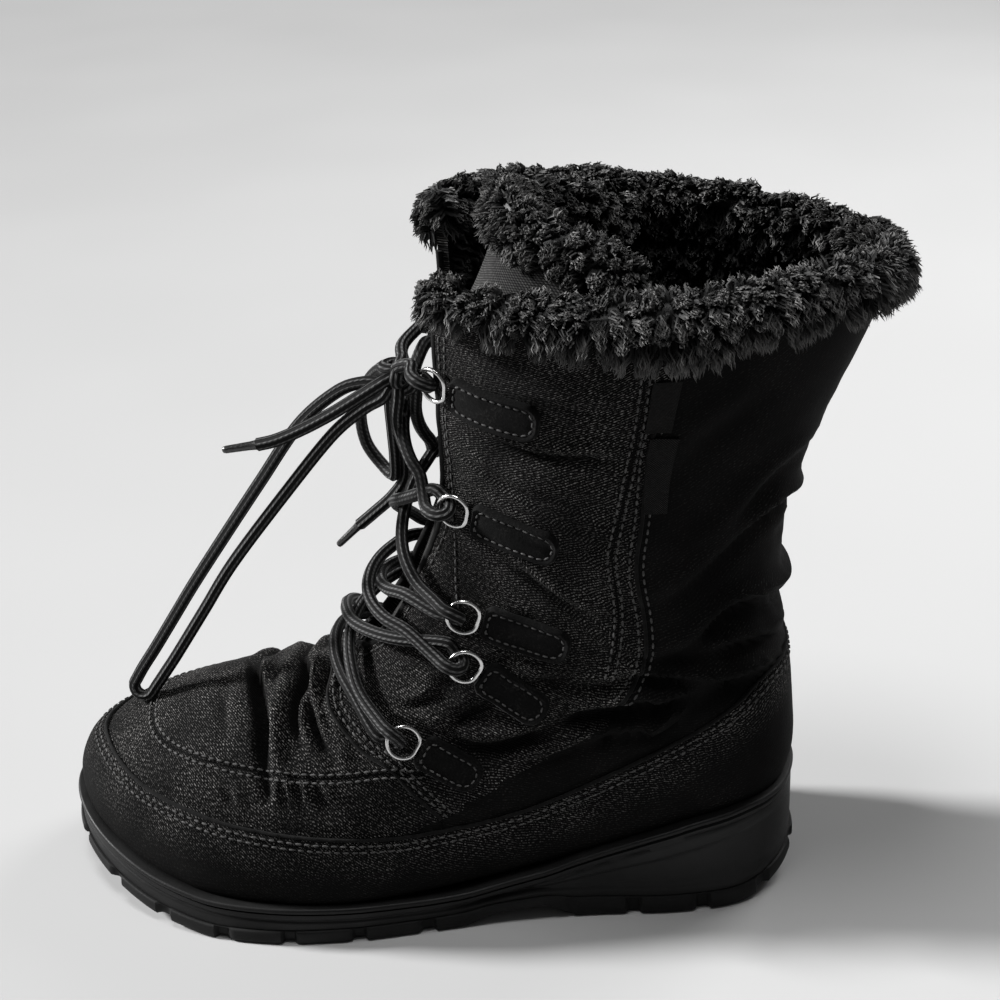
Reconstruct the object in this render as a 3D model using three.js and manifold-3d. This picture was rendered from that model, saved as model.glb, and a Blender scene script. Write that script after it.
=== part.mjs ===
// Lace-up snow boot for the left foot, with a fur collar and a lugged sole. Units are millimetres.
// +X is the outer side of the foot, the toe points to -Y and +Z is up. The origin is on the ground
// under the middle of the heel.
import * as THREE from 'three';
import { mergeVertices } from 'three/addons/utils/BufferGeometryUtils.js';
import Module from 'manifold-3d';

const wasm = await Module();
wasm.setup();

// ---------------------------------------------------------------- driving dimensions
const WALL = 4.5; // fabric, insulation and lining of the upper together
const GAP = 0.3; // between neighbouring pieces
const CORD = 4.2; // lace diameter
const AROUND = 22; // facets around the upper
const STEPS = 1.15; // rings of facets per row of the last
const SEAT_COVER = 5; // thickness of the insole
const LIP = 3; // side wall of the sole, over the foot of the upper
const TREAD_DEPTH = 4;
const TONGUE = 5; // thickness

const BEAD = 2.8; // height of the bead on top of the side wall
const INSOLE_ROOM = 0.8; // between the insole's edge and the upper's wall
const OPENING_RISE = 8; // how far the cut under the upper goes above its floor
const HEEL_SEAT = 29.5; // height of the upper's bottom at the heel
const TIP_START = 0.12; // the toe tip closes with a small fan here
const STATION_GAP = 0.12; // least distance between two places on the sole's outline
const BELOW = -10; // lower than everything
const BIG = 400; // larger than the boot
const SHAFT_Y = -8; // the shaft's middle at the collar
const RIM_SPAN = { inner: 0.4, outer: 1.8 }; // reach of the rim's cutter, in widths of the shaft
const BLANK = 40; // depth of a tab's blank before it is cut to the last
const MERGE = 0.03; // facets flatter than this are joined after a cut
const CORD_SIDES = 8;
const CORD_STEP = 12.6; // length of a cord's facets
const TONGUE_ACROSS = 6; // facets across the tongue
const ROOM_REACH = 1.06; // width of the tongue's room over its own width
const ROOM_NEAR = 3; // its front face stands out from the last by the top
const ROOM_DEPTH = 30;
const TREAD_GROOVES = [-214, -188, -162, -136, -110, -84, -14, 14];
const GROOVE = { length: 60, width: 5, height: 12, spine: 7, slant: 0.22 };
const THROAT_REACH = 9; // how far the throat's cutter goes past either side of the wall
const THROAT = [
  { u: 6.7, half: 6 },
  { u: 7.0, half: 12 },
  { u: 7.6, half: 16 },
  { u: 11, half: 18 },
  { u: 15, half: 19.5 },
  { u: 20, half: 22 },
  { u: 21, half: 22 },
];
// The tongue in rows of the last: its half angle grows into the gusset, the top edge falls away to
// either side, and the free top leans back into the collar.
const TONGUE_SPAN = { from: 6, widens: 14.5, to: 20, fall: 1.4 };
const TONGUE_ANGLES = { low: 0.4, middle: 0.66, top: 1.72 };
const TONGUE_LEAN = { from: 15.5, to: 20.4, back: 13, inward: 10 };
const CUFF_END = 0.36; // angle from the shin line to the fur collar's open end
// Heights round the collar, by the turn in degrees from the back over the outer side: the fur
// cuff's lower edge, the cut edge of the shaft inside the cuff, and the cuff's top.
const COLLAR_COLUMNS = ['turn', 'foot', 'rim', 'top'];
const COLLAR_ROWS = [
  [0, 234.5, 241, 251.5],
  [25, 236, 242, 254],
  [50, 237, 243, 256],
  [70, 233, 240, 254],
  [88, 227, 237, 251],
  [105, 231, 238, 249],
  [125, 234, 240, 248.5],
  [150, 235.5, 241, 249.5],
  [170, 235.5, 241, 249.5],
  [190, 245, 254, 269],
  [212, 245, 254, 269],
  [235, 244, 253, 268],
  [255, 242, 251, 266.5],
  [270, 238, 247, 262],
  [288, 235, 244, 259],
  [300, 233, 241, 255],
  [330, 233, 240, 252],
  [360, 234.5, 241, 251.5],
];
// Profile of the fur cuff: distance out from the shaft, and height as a share of the way from a
// level of the collar to its top, with a rise in mm.
const CUFF_COLUMNS = ['out', 'level', 'share', 'rise'];
const CUFF_ROWS = [
  [0.6, 'foot', 0, 0],
  [5, 'foot', 0, 0.5],
  [8, 'foot', 0.3, 0],
  [8.5, 'foot', 0.62, 0],
  [4.5, 'foot', 0.88, 0],
  [-2.5, 'foot', 1, 0],
  [-8.5, 'rim', 0.72, 0],
  [-10.5, 'rim', 0.25, 0],
  [-8.5, 'rim', 0, -2.5],
  [-5.1, 'rim', 0, -4],
  [-5.1, 'rim', 0, 1],
  [0.6, 'rim', 0, 1],
];
// Profile of the pile over the tongue's top edge: depth from the last, rows past the edge, rise.
const PILE_COLUMNS = ['depth', 'rows', 'rise'];
const PILE_ROWS = [
  [-2.6, -0.6, 0],
  [-1.2, -0.45, 0],
  [-0.6, 0, 0],
  [-3, 0, 7],
  [-8, 0, 11],
  [-14, 0, 7],
  [-17.5, -0.3, 0],
  [-17, -0.8, 0],
  [-11.8, -1, 0],
  [-11.8, 0, 1.3],
  [-2.6, 0, 1.3],
];

// D-rings and the tabs that hold them, on the outer side: the ring's middle and the tab's far end.
const RING_COLUMNS = ['x', 'y', 'z', 'tabX', 'tabY', 'tabZ'];
const RING_ROWS = [
  [22.8, -79.3, 210, 44.2, -45.6, 202.5],
  [24.7, -75.5, 163.6, 40.8, -41, 154],
  [30.7, -75, 124, 39.4, -38.5, 113.5],
  [34.5, -75.6, 106, 40.3, -48.2, 87],
  [39, -99.6, 76.5, 43, -72.8, 61],
];
const RING = { wire: 1, half: 6, front: 6, back: 5.5, lift: 1.9, sides: 5 };
const TAB = { width: 14, thick: 1.8, corner: 5.5, frontGap: 0.5, curve: 2 };

// Lace crossings from one ring to the opposite one below: the row of the last where they cross and
// how far they stand proud of it there.
const CROSSING_COLUMNS = ['from', 'to', 'row', 'proud'];
const CROSSING_ROWS = [
  [0, 1, 13.2, 4.6],
  [1, 2, 9.7, 6],
  [2, 3, 8.1, 6],
  [3, 4, 7, 6],
];
const LACE_BAR = { ring: 4, row: 6.25, proud: 4.2 };
const LACE_OUT = 10.6; // from a ring's middle to the cord's end in front of it
const LACE_CLEAR = 3.1; // axis of a cord over the last at the rings
const KNOT = { x: 9, y: -95, z: 208, radius: 5.5, above: 0.6 };
const AGLET = { radius: 1.5, length: 13, gap: 0.7 };

// Routes of the free cords, from the knot.
const CORD_ROUTES = {
  lace_loop_long: [
    [7, -100.8, 203.5],
    [5, -108, 203.5],
    [3, -118, 199.5],
    [1, -133, 186.5],
    [-1, -149.5, 163.5],
    [-3, -167, 138.5],
    [-5, -180, 119.5],
    [-7, -190, 104],
    [-9, -199, 90],
    [-10, -206, 79],
    [-10, -210.5, 71.5],
    [-9, -207.5, 67.8],
    [-7.5, -201, 73],
    [-5, -190, 89],
    [-3, -177, 109],
    [-1, -163, 130.5],
    [1, -140, 160],
    [3, -121, 183],
    [5, -109, 193.5],
    [7, -101.5, 198.5],
  ],
  lace_loop_short: [
    [2, -99, 207.5],
    [-8, -104, 203],
    [-18, -110, 193],
    [-25, -114, 179],
    [-27, -113, 166],
    [-25, -107, 157],
    [-19, -102.5, 156],
    [-13, -101, 166],
    [-7, -100.5, 180],
    [-1, -100, 192],
    [2.5, -99, 199],
  ],
  lace_end_front: [
    [14.5, -101, 207],
    [14, -108, 202.5],
    [13, -119, 195.5],
    [12, -130, 189.5],
    [11, -140, 185],
    [10, -147, 183],
  ],
  lace_end_low: [
    [10, -96, 199.5],
    [6, -97.5, 190],
    [-2, -97, 179],
    [-11, -96.5, 168],
    [-18, -98, 156],
    [-22, -104, 146],
    [-24, -112, 138],
    [-25, -118, 132.5],
  ],
};
const AGLET_ENDS = {
  aglet_front: { cord: 'lace_end_front', to: [9, -160, 180.8] },
  aglet_low: { cord: 'lace_end_low', to: [-26, -127, 123.5] },
};

// Sections of the last from toe to collar. Each is a plane across the boot from a point on the sole
// or back line (low) to a point on the vamp or shin line (top).
// outer and inner are half widths from the axis, widest is where they lie from low (0) to top (1),
// lowShape and topShape are how square the section is at either end (2 is an ellipse).
const LAST_COLUMNS = ['topY', 'topZ', 'lowY', 'lowZ', 'axisX', 'ridgeX', 'outer', 'inner', 'widest', 'lowShape', 'topShape'];
const LAST_ROWS = [
  [-234.5, 36, -234.5, 36, -12, -12, 0, 0, 0.5, 2.2, 2.2], // toe tip
  [-230.5, 48.5, -230, 24.5, -12, -12, 17, 15, 0.44, 2.6, 2.2],
  [-220, 57.5, -217, 19.5, -9, -10, 32, 27.5, 0.38, 3.2, 2.2],
  [-202, 67.5, -199, 14.5, -5, -7, 43.5, 39, 0.34, 4, 2.2], // toe box
  [-178, 76, -176, 10.5, -1, -5, 51.5, 46, 0.31, 4.6, 2.15],
  [-152, 83, -150, 9, 1.5, -4, 54, 49, 0.29, 5, 2.1], // ball
  [-130, 90, -124, 8.5, 1.5, -4, 54, 47, 0.28, 5, 2.1],
  [-115, 100, -96, 10, 0.5, -4, 50.5, 42, 0.28, 5, 2.1], // instep
  [-104, 116, -66, 13.5, 0, -3, 45.5, 38.5, 0.28, 5, 2.2],
  [-96.5, 134, -34, 19, 0, -2, 42.5, 38, 0.3, 4.8, 2.3],
  [-91, 150, 0, 25, 0, -1, 41.5, 38.5, 0.32, 4.4, 2.3], // heel seat
  [-88, 163, 28, 29.5, 0, 0, 41, 39, 0.36, 3.4, 2.3],
  [-86.5, 174, 43.5, 48, 0, 0, 41.5, 40, 0.42, 2.6, 2.3], // heel back
  [-86, 184, 43.5, 80, 0, 0, 42, 41, 0.46, 2.4, 2.3],
  [-85.5, 193, 40, 112, 0, 0, 43, 42, 0.5, 2.3, 2.3], // ankle
  [-85.2, 203, 39.5, 142, 0, 0, 44.5, 43.5, 0.5, 2.3, 2.3],
  [-85.2, 213, 46, 172, 0, 0, 46.5, 45.5, 0.5, 2.3, 2.3],
  [-85.5, 222, 57, 200, 0, 0, 48.5, 47.5, 0.5, 2.3, 2.3],
  [-86, 234, 69, 228, 0, 0, 50, 49.5, 0.5, 2.3, 2.3], // collar
  [-86.5, 248, 74, 248, 0, 0, 51, 50.5, 0.5, 2.3, 2.3],
  [-87, 262, 79, 262, 0, 0, 52, 51.5, 0.5, 2.3, 2.3],
  [-87.5, 281, 86, 281, 0, 0, 54, 53.5, 0.5, 2.3, 2.3],
];

// Outline of the sole seen from above: half widths either side of X = 0.
const SOLE_COLUMNS = ['y', 'outer', 'inner'];
const SOLE_ROWS = [
  [-238, -12, 12],
  [-234, 6, 28],
  [-222, 24.5, 39.5],
  [-203, 41.5, 47.5],
  [-178, 54, 51],
  [-152, 59, 51.5], // ball
  [-124, 58.5, 49.5],
  [-96, 54, 45.5],
  [-66, 48.5, 42], // arch
  [-34, 45.5, 41.5],
  [0, 44.5, 42],
  [24, 39, 38],
  [40, 24, 24],
  [46.5, 0, 0], // heel back
];
// Heights along the sole, from toe to heel: the tread's face, the line where tread and side wall
// part, and the bead on top of the side wall.
const HEIGHT_COLUMNS = ['y', 'tread', 'parting', 'bead'];
const HEIGHT_ROWS = [
  [-238, 16, 20.5, 31.5],
  [-222, 9.5, 14.5, 26],
  [-200, 3.2, 9, 20.5],
  [-178, 0, 6, 17],
  [-124, 0, 6, 15],
  [-96, 0, 6, 14.5],
  [-80, 0, 6.5, 15],
  [-72, 4, 8.5, 16.5],
  [-48, 6, 10.5, 22],
  [-42, 0, 9, 24.5],
  [-11, 0, 8, 35],
  [7, 0, 8, 40.5],
  [26, 0, 8, 44],
  [46.5, 7, 12, 43.5],
];

// ---------------------------------------------------------------- tables and curves
const asRecord = (columns, row) => Object.fromEntries(columns.map((name, i) => [name, row[i]]));
const LAST = LAST_ROWS.map((row) => asRecord(LAST_COLUMNS, row));
const SOLE = SOLE_ROWS.map((row) => asRecord(SOLE_COLUMNS, row));
const HEIGHTS = HEIGHT_ROWS.map((row) => asRecord(HEIGHT_COLUMNS, row));
const COLLAR = COLLAR_ROWS.map((row) => asRecord(COLLAR_COLUMNS, row));
const CUFF = CUFF_ROWS.map((row) => asRecord(CUFF_COLUMNS, row));
const PILE = PILE_ROWS.map((row) => asRecord(PILE_COLUMNS, row));
const RINGS = RING_ROWS.map((row) => asRecord(RING_COLUMNS, row));
const CROSSINGS = CROSSING_ROWS.map((row) => asRecord(CROSSING_COLUMNS, row));
const LAST_END = LAST.length - 1;

// The row before the toe tip is the next one turned over, which makes the tip round.
const beyondTip = {
  ...LAST[1],
  topY: LAST[1].lowY,
  topZ: LAST[1].lowZ,
  lowY: LAST[1].topY,
  lowZ: LAST[1].topZ,
  outer: -LAST[1].outer,
  inner: -LAST[1].inner,
};

function lastRow(index) {
  if (index < 0) return beyondTip;
  return LAST[Math.min(index, LAST_END)];
}

function catmull(a, b, c, d, t) {
  const bend = 2 * a - 5 * b + 4 * c - d;
  const twist = 3 * b - a - 3 * c + d;
  return 0.5 * (2 * b + (c - a) * t + bend * t * t + twist * t * t * t);
}

function sectionAt(u) {
  const i = Math.min(Math.floor(u), LAST_END - 1);
  const t = u - i;
  const section = {};
  for (const name of LAST_COLUMNS) {
    const values = [i - 1, i, i + 1, i + 2].map((k) => lastRow(k)[name]);
    section[name] = catmull(...values, t);
  }
  return section;
}

const power = (value, exponent) => Math.sign(value) * Math.abs(value) ** exponent;

// A point of the last's surface. The angle runs from the low point (0) by the outer side to the
// top point (pi) and back by the inner side.
function onSection(s, angle) {
  const c = Math.cos(angle);
  const shape = c > 0 ? s.lowShape : s.topShape;
  const reach = c > 0 ? s.widest : 1 - s.widest;
  const along = s.widest - reach * power(c, 2 / shape);
  const side = power(Math.sin(angle), 2 / shape);
  const half = side > 0 ? s.outer : s.inner;
  const axis = THREE.MathUtils.lerp(s.axisX, s.ridgeX, THREE.MathUtils.smoothstep(along, 0.2, 1));
  return new THREE.Vector3(
    axis + half * side,
    THREE.MathUtils.lerp(s.lowY, s.topY, along),
    THREE.MathUtils.lerp(s.lowZ, s.topZ, along),
  );
}

// The same surface, moved outwards by grow along its normal.
function onLast(u, angle, grow = 0) {
  const point = onSection(sectionAt(u), angle);
  if (grow === 0) return point;
  const step = 0.02;
  const before = onSection(sectionAt(Math.max(u - step, 0)), angle);
  const after = onSection(sectionAt(Math.min(u + step, LAST_END)), angle);
  const left = onSection(sectionAt(u), angle - step);
  const right = onSection(sectionAt(u), angle + step);
  const normal = after.sub(before).cross(right.sub(left)).normalize();
  return u === 0 ? point.add(new THREE.Vector3(0, -grow, 0)) : point.addScaledVector(normal, grow);
}

function interpolate(rows, at, name, key = 'y') {
  const k = rows.findIndex((row) => row[key] >= at);
  if (k <= 0) return rows[k === 0 ? 0 : rows.length - 1][name];
  const t = (at - rows[k - 1][key]) / (rows[k][key] - rows[k - 1][key]);
  return THREE.MathUtils.lerp(rows[k - 1][name], rows[k][name], t);
}

const treadAt = (y) => interpolate(HEIGHTS, y, 'tread');
const partingAt = (y) => interpolate(HEIGHTS, y, 'parting');
const beadAt = (y) => interpolate(HEIGHTS, y, 'bead');

function collarAt(angle, name) {
  const turn = THREE.MathUtils.euclideanModulo(THREE.MathUtils.radToDeg(angle), 360);
  return interpolate(COLLAR, turn, name, 'turn');
}

// ---------------------------------------------------------------- solids
function geometryOf(points, triangles) {
  const geometry = new THREE.BufferGeometry();
  geometry.setAttribute('position', new THREE.Float32BufferAttribute(points.flatMap((p) => p.toArray()), 3));
  geometry.setIndex(triangles.flat());
  return geometry;
}

function signedVolume(positions, index) {
  const corner = (i) => new THREE.Vector3().fromArray(positions, 3 * index[i]);
  let total = 0;
  for (let i = 0; i < index.length; i += 3) total += corner(i).dot(corner(i + 1).cross(corner(i + 2))) / 6;
  return total;
}

// A closed geometry as a solid that can be cut and joined, with its faces outwards.
function toSolid(geometry) {
  const bare = geometry.clone();
  bare.deleteAttribute('normal');
  bare.deleteAttribute('uv');
  const merged = mergeVertices(bare, 1e-4);
  const positions = merged.attributes.position.array;
  const index = merged.index.array;
  const inward = signedVolume(positions, index) < 0;
  const triangles = [];
  for (let i = 0; i < index.length; i += 3) {
    const [a, b, c] = [index[i], index[i + 1], index[i + 2]];
    if (a !== b && b !== c && c !== a) triangles.push(...(inward ? [a, c, b] : [a, b, c]));
  }
  const mesh = new wasm.Mesh({
    numProp: 3,
    vertProperties: Float32Array.from(positions),
    triVerts: Uint32Array.from(triangles),
  });
  return new wasm.Manifold(mesh);
}

function toGeometry(solid) {
  const mesh = solid.simplify(MERGE).getMesh();
  const geometry = new THREE.BufferGeometry();
  geometry.setAttribute('position', new THREE.BufferAttribute(Float32Array.from(mesh.vertProperties), 3));
  geometry.setIndex(new THREE.BufferAttribute(Uint32Array.from(mesh.triVerts), 1));
  return geometry;
}

// The triangles of an end ring, turned the way the ring runs.
function capOf(ring) {
  const normal = new THREE.Vector3();
  for (const [k, point] of ring.entries()) normal.add(point.clone().cross(ring[(k + 1) % ring.length]));
  const toPlane = new THREE.Quaternion().setFromUnitVectors(normal.normalize(), new THREE.Vector3(0, 0, 1));
  const flat = ring.map((point) => {
    const turned = point.clone().applyQuaternion(toPlane);
    return new THREE.Vector2(turned.x, turned.y);
  });
  return THREE.ShapeUtils.triangulateShape(flat, []).map(([a, b, c]) => {
    const turn = flat[b].clone().sub(flat[a]).cross(flat[c].clone().sub(flat[a]));
    return turn > 0 ? [a, b, c] : [a, c, b];
  });
}

// A closed skin over rings of equal length, capped at each end.
function loft(rings) {
  const count = rings[0].length;
  const points = rings.flat();
  const triangles = [];
  for (let r = 0; r < rings.length - 1; r += 1) {
    for (let k = 0; k < count; k += 1) {
      const a = r * count + k;
      const b = r * count + ((k + 1) % count);
      triangles.push([a, b, a + count], [b, b + count, a + count]);
    }
  }
  const last = (rings.length - 1) * count;
  for (const [a, b, c] of capOf(rings[0])) triangles.push([c, b, a]);
  for (const [a, b, c] of capOf(rings.at(-1))) triangles.push([last + a, last + b, last + c]);
  return geometryOf(points, triangles);
}

// The whole last as a closed form, grown or shrunk.
function lastForm(grow) {
  const rings = [];
  const count = Math.round(LAST_END * STEPS);
  for (let r = 0; r <= count; r += 1) {
    const u = Math.max((r / count) * LAST_END, TIP_START);
    const ring = [];
    for (let k = 0; k < AROUND; k += 1) ring.push(onLast(u, (k / AROUND) * 2 * Math.PI, grow));
    rings.push(ring);
  }
  return toSolid(loft(rings));
}

// A skin over rings that come back to the first one.
function closedLoop(rings) {
  const count = rings[0].length;
  const triangles = [];
  for (let r = 0; r < rings.length; r += 1) {
    const next = (r + 1) % rings.length;
    for (let k = 0; k < count; k += 1) {
      const [a, b] = [r * count + k, r * count + ((k + 1) % count)];
      const [c, d] = [next * count + k, next * count + ((k + 1) % count)];
      triangles.push([a, b, c], [b, d, c]);
    }
  }
  return geometryOf(rings.flat(), triangles);
}

// ---------------------------------------------------------------- sole
const soleRow = (index) => {
  if (index < 0) return { y: SOLE[1].y, outer: -SOLE[1].inner, inner: -SOLE[1].outer };
  const end = SOLE.length - 1;
  if (index > end) return { y: SOLE[end - 1].y, outer: -SOLE[end - 1].inner, inner: -SOLE[end - 1].outer };
  return SOLE[index];
};

function soleAt(v) {
  const i = Math.min(Math.floor(v), SOLE.length - 2);
  const point = {};
  for (const name of SOLE_COLUMNS) {
    const values = [i - 1, i, i + 1, i + 2].map((k) => soleRow(k)[name]);
    point[name] = catmull(...values, v - i);
  }
  return point;
}

function soleParameterAt(y) {
  let low = 0;
  let high = SOLE.length - 1;
  for (let i = 0; i < 40; i += 1) {
    const v = (low + high) / 2;
    if (soleAt(v).y < y) low = v;
    else high = v;
  }
  return (low + high) / 2;
}

// Places along the outline: evenly spread ones, and one at each change of height.
const SOLE_STATIONS = (() => {
  const end = SOLE.length - 1;
  const breaks = HEIGHTS.slice(1, -1).map((row) => soleParameterAt(row.y));
  const clear = (v) => breaks.every((b) => Math.abs(b - v) > STATION_GAP);
  const even = Array.from({ length: 2 * end - 1 }, (_, i) => (i + 1) / 2).filter(clear);
  const nearEnds = [0.2, end - 0.25];
  return [0, ...[...even, ...breaks, ...nearEnds].sort((a, b) => a - b), end];
})();

function outlinePoint(v, side, inset) {
  const at = (w) => {
    const p = soleAt(w);
    return new THREE.Vector2(side > 0 ? p.outer : -p.inner, p.y);
  };
  const step = 0.02;
  const end = SOLE.length - 1;
  const point = at(v);
  if (v === 0) return point.add(new THREE.Vector2(0, inset));
  if (v === end) return point.add(new THREE.Vector2(0, -inset));
  const along = at(Math.min(v + step, end)).sub(at(Math.max(v - step, 0))).normalize();
  return point.add(new THREE.Vector2(-along.y, along.x).multiplyScalar(side * inset));
}

// A block with the sole's outline. Each level has a height along the sole and an inset.
function soleBlock(levels) {
  const end = SOLE_STATIONS.length - 1;
  const inner = SOLE_STATIONS.slice(1, end).reverse();
  const loop = [...SOLE_STATIONS.map((v) => [v, 1]), ...inner.map((v) => [v, -1])];
  const count = loop.length;
  const points = [];
  const triangles = [];
  for (const { height, inset } of levels) {
    for (const [v, side] of loop) {
      const p = outlinePoint(v, side, inset);
      points.push(new THREE.Vector3(p.x, p.y, height(p.y)));
    }
  }
  for (let r = 0; r < levels.length - 1; r += 1) {
    for (let k = 0; k < count; k += 1) {
      const a = r * count + k;
      const b = r * count + ((k + 1) % count);
      triangles.push([a, b, a + count], [b, b + count, a + count]);
    }
  }
  const mirrorOf = (k) => (k === 0 || k === end ? k : count - k);
  for (const [start, flip] of [[0, true], [(levels.length - 1) * count, false]]) {
    for (let k = 0; k < end; k += 1) {
      const quad = [k, k + 1, mirrorOf(k + 1), mirrorOf(k)].map((i) => start + i);
      const halves = [[quad[0], quad[1], quad[2]], [quad[0], quad[2], quad[3]]];
      for (const [a, b, c] of halves) {
        if (a !== b && b !== c && c !== a) triangles.push(flip ? [b, a, c] : [a, b, c]);
      }
    }
  }
  return toSolid(geometryOf(points, triangles));
}

function placedBox(size, position, turn) {
  const geometry = new THREE.BoxGeometry(...size);
  geometry.rotateZ(turn);
  geometry.translate(...position);
  return toSolid(geometry);
}

// Slanted grooves from both edges leave chevron lugs on a middle spine.
function makeOutsole() {
  let solid = soleBlock([
    { height: treadAt, inset: 1 },
    { height: (y) => treadAt(y) + 1, inset: -0.6 },
    { height: (y) => partingAt(y) - GAP, inset: -0.2 },
  ]);
  for (const y of TREAD_GROOVES) {
    for (const side of [1, -1]) {
      const reach = GROOVE.length / 2 + GROOVE.spine;
      const height = treadAt(y) + TREAD_DEPTH - GROOVE.height / 2;
      const size = [GROOVE.length, GROOVE.width, GROOVE.height];
      solid = solid.subtract(placedBox(size, [side * reach, y, height], side * GROOVE.slant));
    }
  }
  return toGeometry(solid);
}

function makeMidsole() {
  const groove = (y) => beadAt(y) - BEAD;
  const wall = soleBlock([
    { height: partingAt, inset: 0.6 },
    { height: (y) => groove(y) - 1, inset: 0.7 },
    { height: groove, inset: 1.3 },
    { height: (y) => groove(y) + 0.7, inset: 0 },
    { height: beadAt, inset: 0.4 },
  ]);
  return toGeometry(wall.subtract(lastForm(GAP)));
}

function seatAt(y) {
  const k = LAST.findIndex((row) => row.lowY >= y);
  if (k <= 0) return LAST[1].lowZ;
  const t = (y - LAST[k - 1].lowY) / (LAST[k].lowY - LAST[k - 1].lowY);
  return Math.min(THREE.MathUtils.lerp(LAST[k - 1].lowZ, LAST[k].lowZ, t), HEEL_SEAT);
}

const openingInset = LIP + WALL + GAP;

function makeInsole() {
  const board = soleBlock([
    { height: () => BELOW, inset: openingInset + INSOLE_ROOM },
    { height: (y) => seatAt(y) + SEAT_COVER, inset: openingInset + INSOLE_ROOM },
  ]);
  return toGeometry(board.intersect(lastForm(0)));
}

// ---------------------------------------------------------------- upper
// The lacing throat, cut through the front wall only.
function throatCutter() {
  const rings = THROAT.map(({ u, half }) => {
    const front = onLast(u, Math.PI, THROAT_REACH);
    const back = onLast(u, Math.PI, -WALL - THROAT_REACH);
    return [[front, half], [front, -half], [back, -half], [back, half]].map(
      ([p, x]) => new THREE.Vector3(p.x + x, p.y, p.z),
    );
  });
  return toSolid(loft(rings));
}

// Everything above the shaft's cut edge, which rises and falls round the collar.
function aboveRim() {
  const rings = [];
  for (const [scale, rise] of [[RIM_SPAN.inner, 0], [RIM_SPAN.outer, 0], [RIM_SPAN.outer, BIG]]) {
    const ring = [];
    for (let k = 0; k < AROUND; k += 1) {
      const angle = (k / AROUND) * 2 * Math.PI;
      const rim = collarAt(angle, 'rim');
      const point = onShaft(angle, rim);
      ring.push(new THREE.Vector3(point.x * scale, SHAFT_Y + (point.y - SHAFT_Y) * scale, rim + rise));
    }
    rings.push(ring);
  }
  return toSolid(loft(rings));
}

function makeUpper() {
  const opening = soleBlock([
    { height: () => BELOW, inset: openingInset },
    { height: (y) => seatAt(y) + WALL + OPENING_RISE, inset: openingInset },
  ]);
  const shell = lastForm(0).subtract(lastForm(-WALL));
  return toGeometry(shell.subtract(opening).subtract(throatCutter()).subtract(aboveRim()));
}

function tonguePoint(u, side, depth) {
  const { widens, from, to } = TONGUE_SPAN;
  const { low, middle, top } = TONGUE_ANGLES;
  const half = u < widens
    ? THREE.MathUtils.mapLinear(u, from, widens, low, middle)
    : THREE.MathUtils.mapLinear(u, widens, to, middle, top);
  const lean = THREE.MathUtils.smoothstep(u, TONGUE_LEAN.from, TONGUE_LEAN.to);
  const point = onLast(u, Math.PI + half * side, depth - TONGUE_LEAN.inward * lean);
  return point.add(new THREE.Vector3(0, TONGUE_LEAN.back * lean, 0));
}

const tongueTop = (side) => TONGUE_SPAN.to - TONGUE_SPAN.fall * side * side;

function makeTongue() {
  const along = 14;
  const near = [];
  const far = [];
  for (let i = 0; i <= along; i += 1) {
    const rows = [[], []];
    for (let k = 0; k <= TONGUE_ACROSS; k += 1) {
      const side = (2 * k) / TONGUE_ACROSS - 1;
      const u = THREE.MathUtils.lerp(TONGUE_SPAN.from, tongueTop(side), i / along);
      rows[0].push(tonguePoint(u, side, -WALL));
      rows[1].push(tonguePoint(u, side, -WALL - GAP - TONGUE));
    }
    near.push(rows[0]);
    far.push(rows[1].reverse());
  }
  const sheet = toSolid(loft(near.map((row, i) => [...row, ...far[i]])));
  return toGeometry(sheet.intersect(lastForm(-WALL - GAP)));
}

function makeTongueFur() {
  const rings = [];
  for (let k = 0; k <= TONGUE_ACROSS; k += 1) {
    const side = (2 * k) / TONGUE_ACROSS - 1;
    rings.push(PILE.map(({ depth, rows, rise }) => {
      const point = tonguePoint(tongueTop(side) + rows, side, depth);
      return point.add(new THREE.Vector3(0, 0, rise));
    }));
  }
  return toGeometry(toSolid(loft(rings)));
}

// The point of the shaft at a height, by halving the span of rows.
function onShaft(angle, z, grow) {
  let low = LAST_END / 2;
  let high = LAST_END;
  for (let i = 0; i < 30; i += 1) {
    const u = (low + high) / 2;
    if (onLast(u, angle, grow).z < z) low = u;
    else high = u;
  }
  return onLast(low, angle, grow);
}

// The space inside the shaft that the tongue and its pile take up.
function tongueRoom() {
  const rings = [];
  for (let i = 0; i <= 6; i += 1) {
    const u = THREE.MathUtils.lerp(TONGUE_SPAN.widens, LAST_END, i / 6);
    const rows = [[], []];
    for (let k = 0; k <= TONGUE_ACROSS; k += 1) {
      const side = ((2 * k) / TONGUE_ACROSS - 1) * ROOM_REACH;
      rows[0].push(tonguePoint(u, side, (ROOM_NEAR * i) / 6));
      rows[1].push(tonguePoint(u, side, -ROOM_DEPTH));
    }
    rings.push([...rows[0], ...rows[1].reverse()]);
  }
  return toSolid(loft(rings));
}

function makeFurCollar() {
  const angles = [Math.PI - CUFF_END];
  for (let k = Math.floor(AROUND / 2) - 2; k >= 2 - AROUND / 2; k -= 1) angles.push((k / AROUND) * 2 * Math.PI);
  angles.push(CUFF_END - Math.PI);
  const rings = angles.map((angle) => CUFF.map(({ out, level, share, rise }) => {
    const z = THREE.MathUtils.lerp(collarAt(angle, level), collarAt(angle, 'top'), share) + rise;
    return onShaft(angle, z, out);
  }));
  return toGeometry(toSolid(loft(rings)).subtract(tongueRoom()));
}

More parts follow.
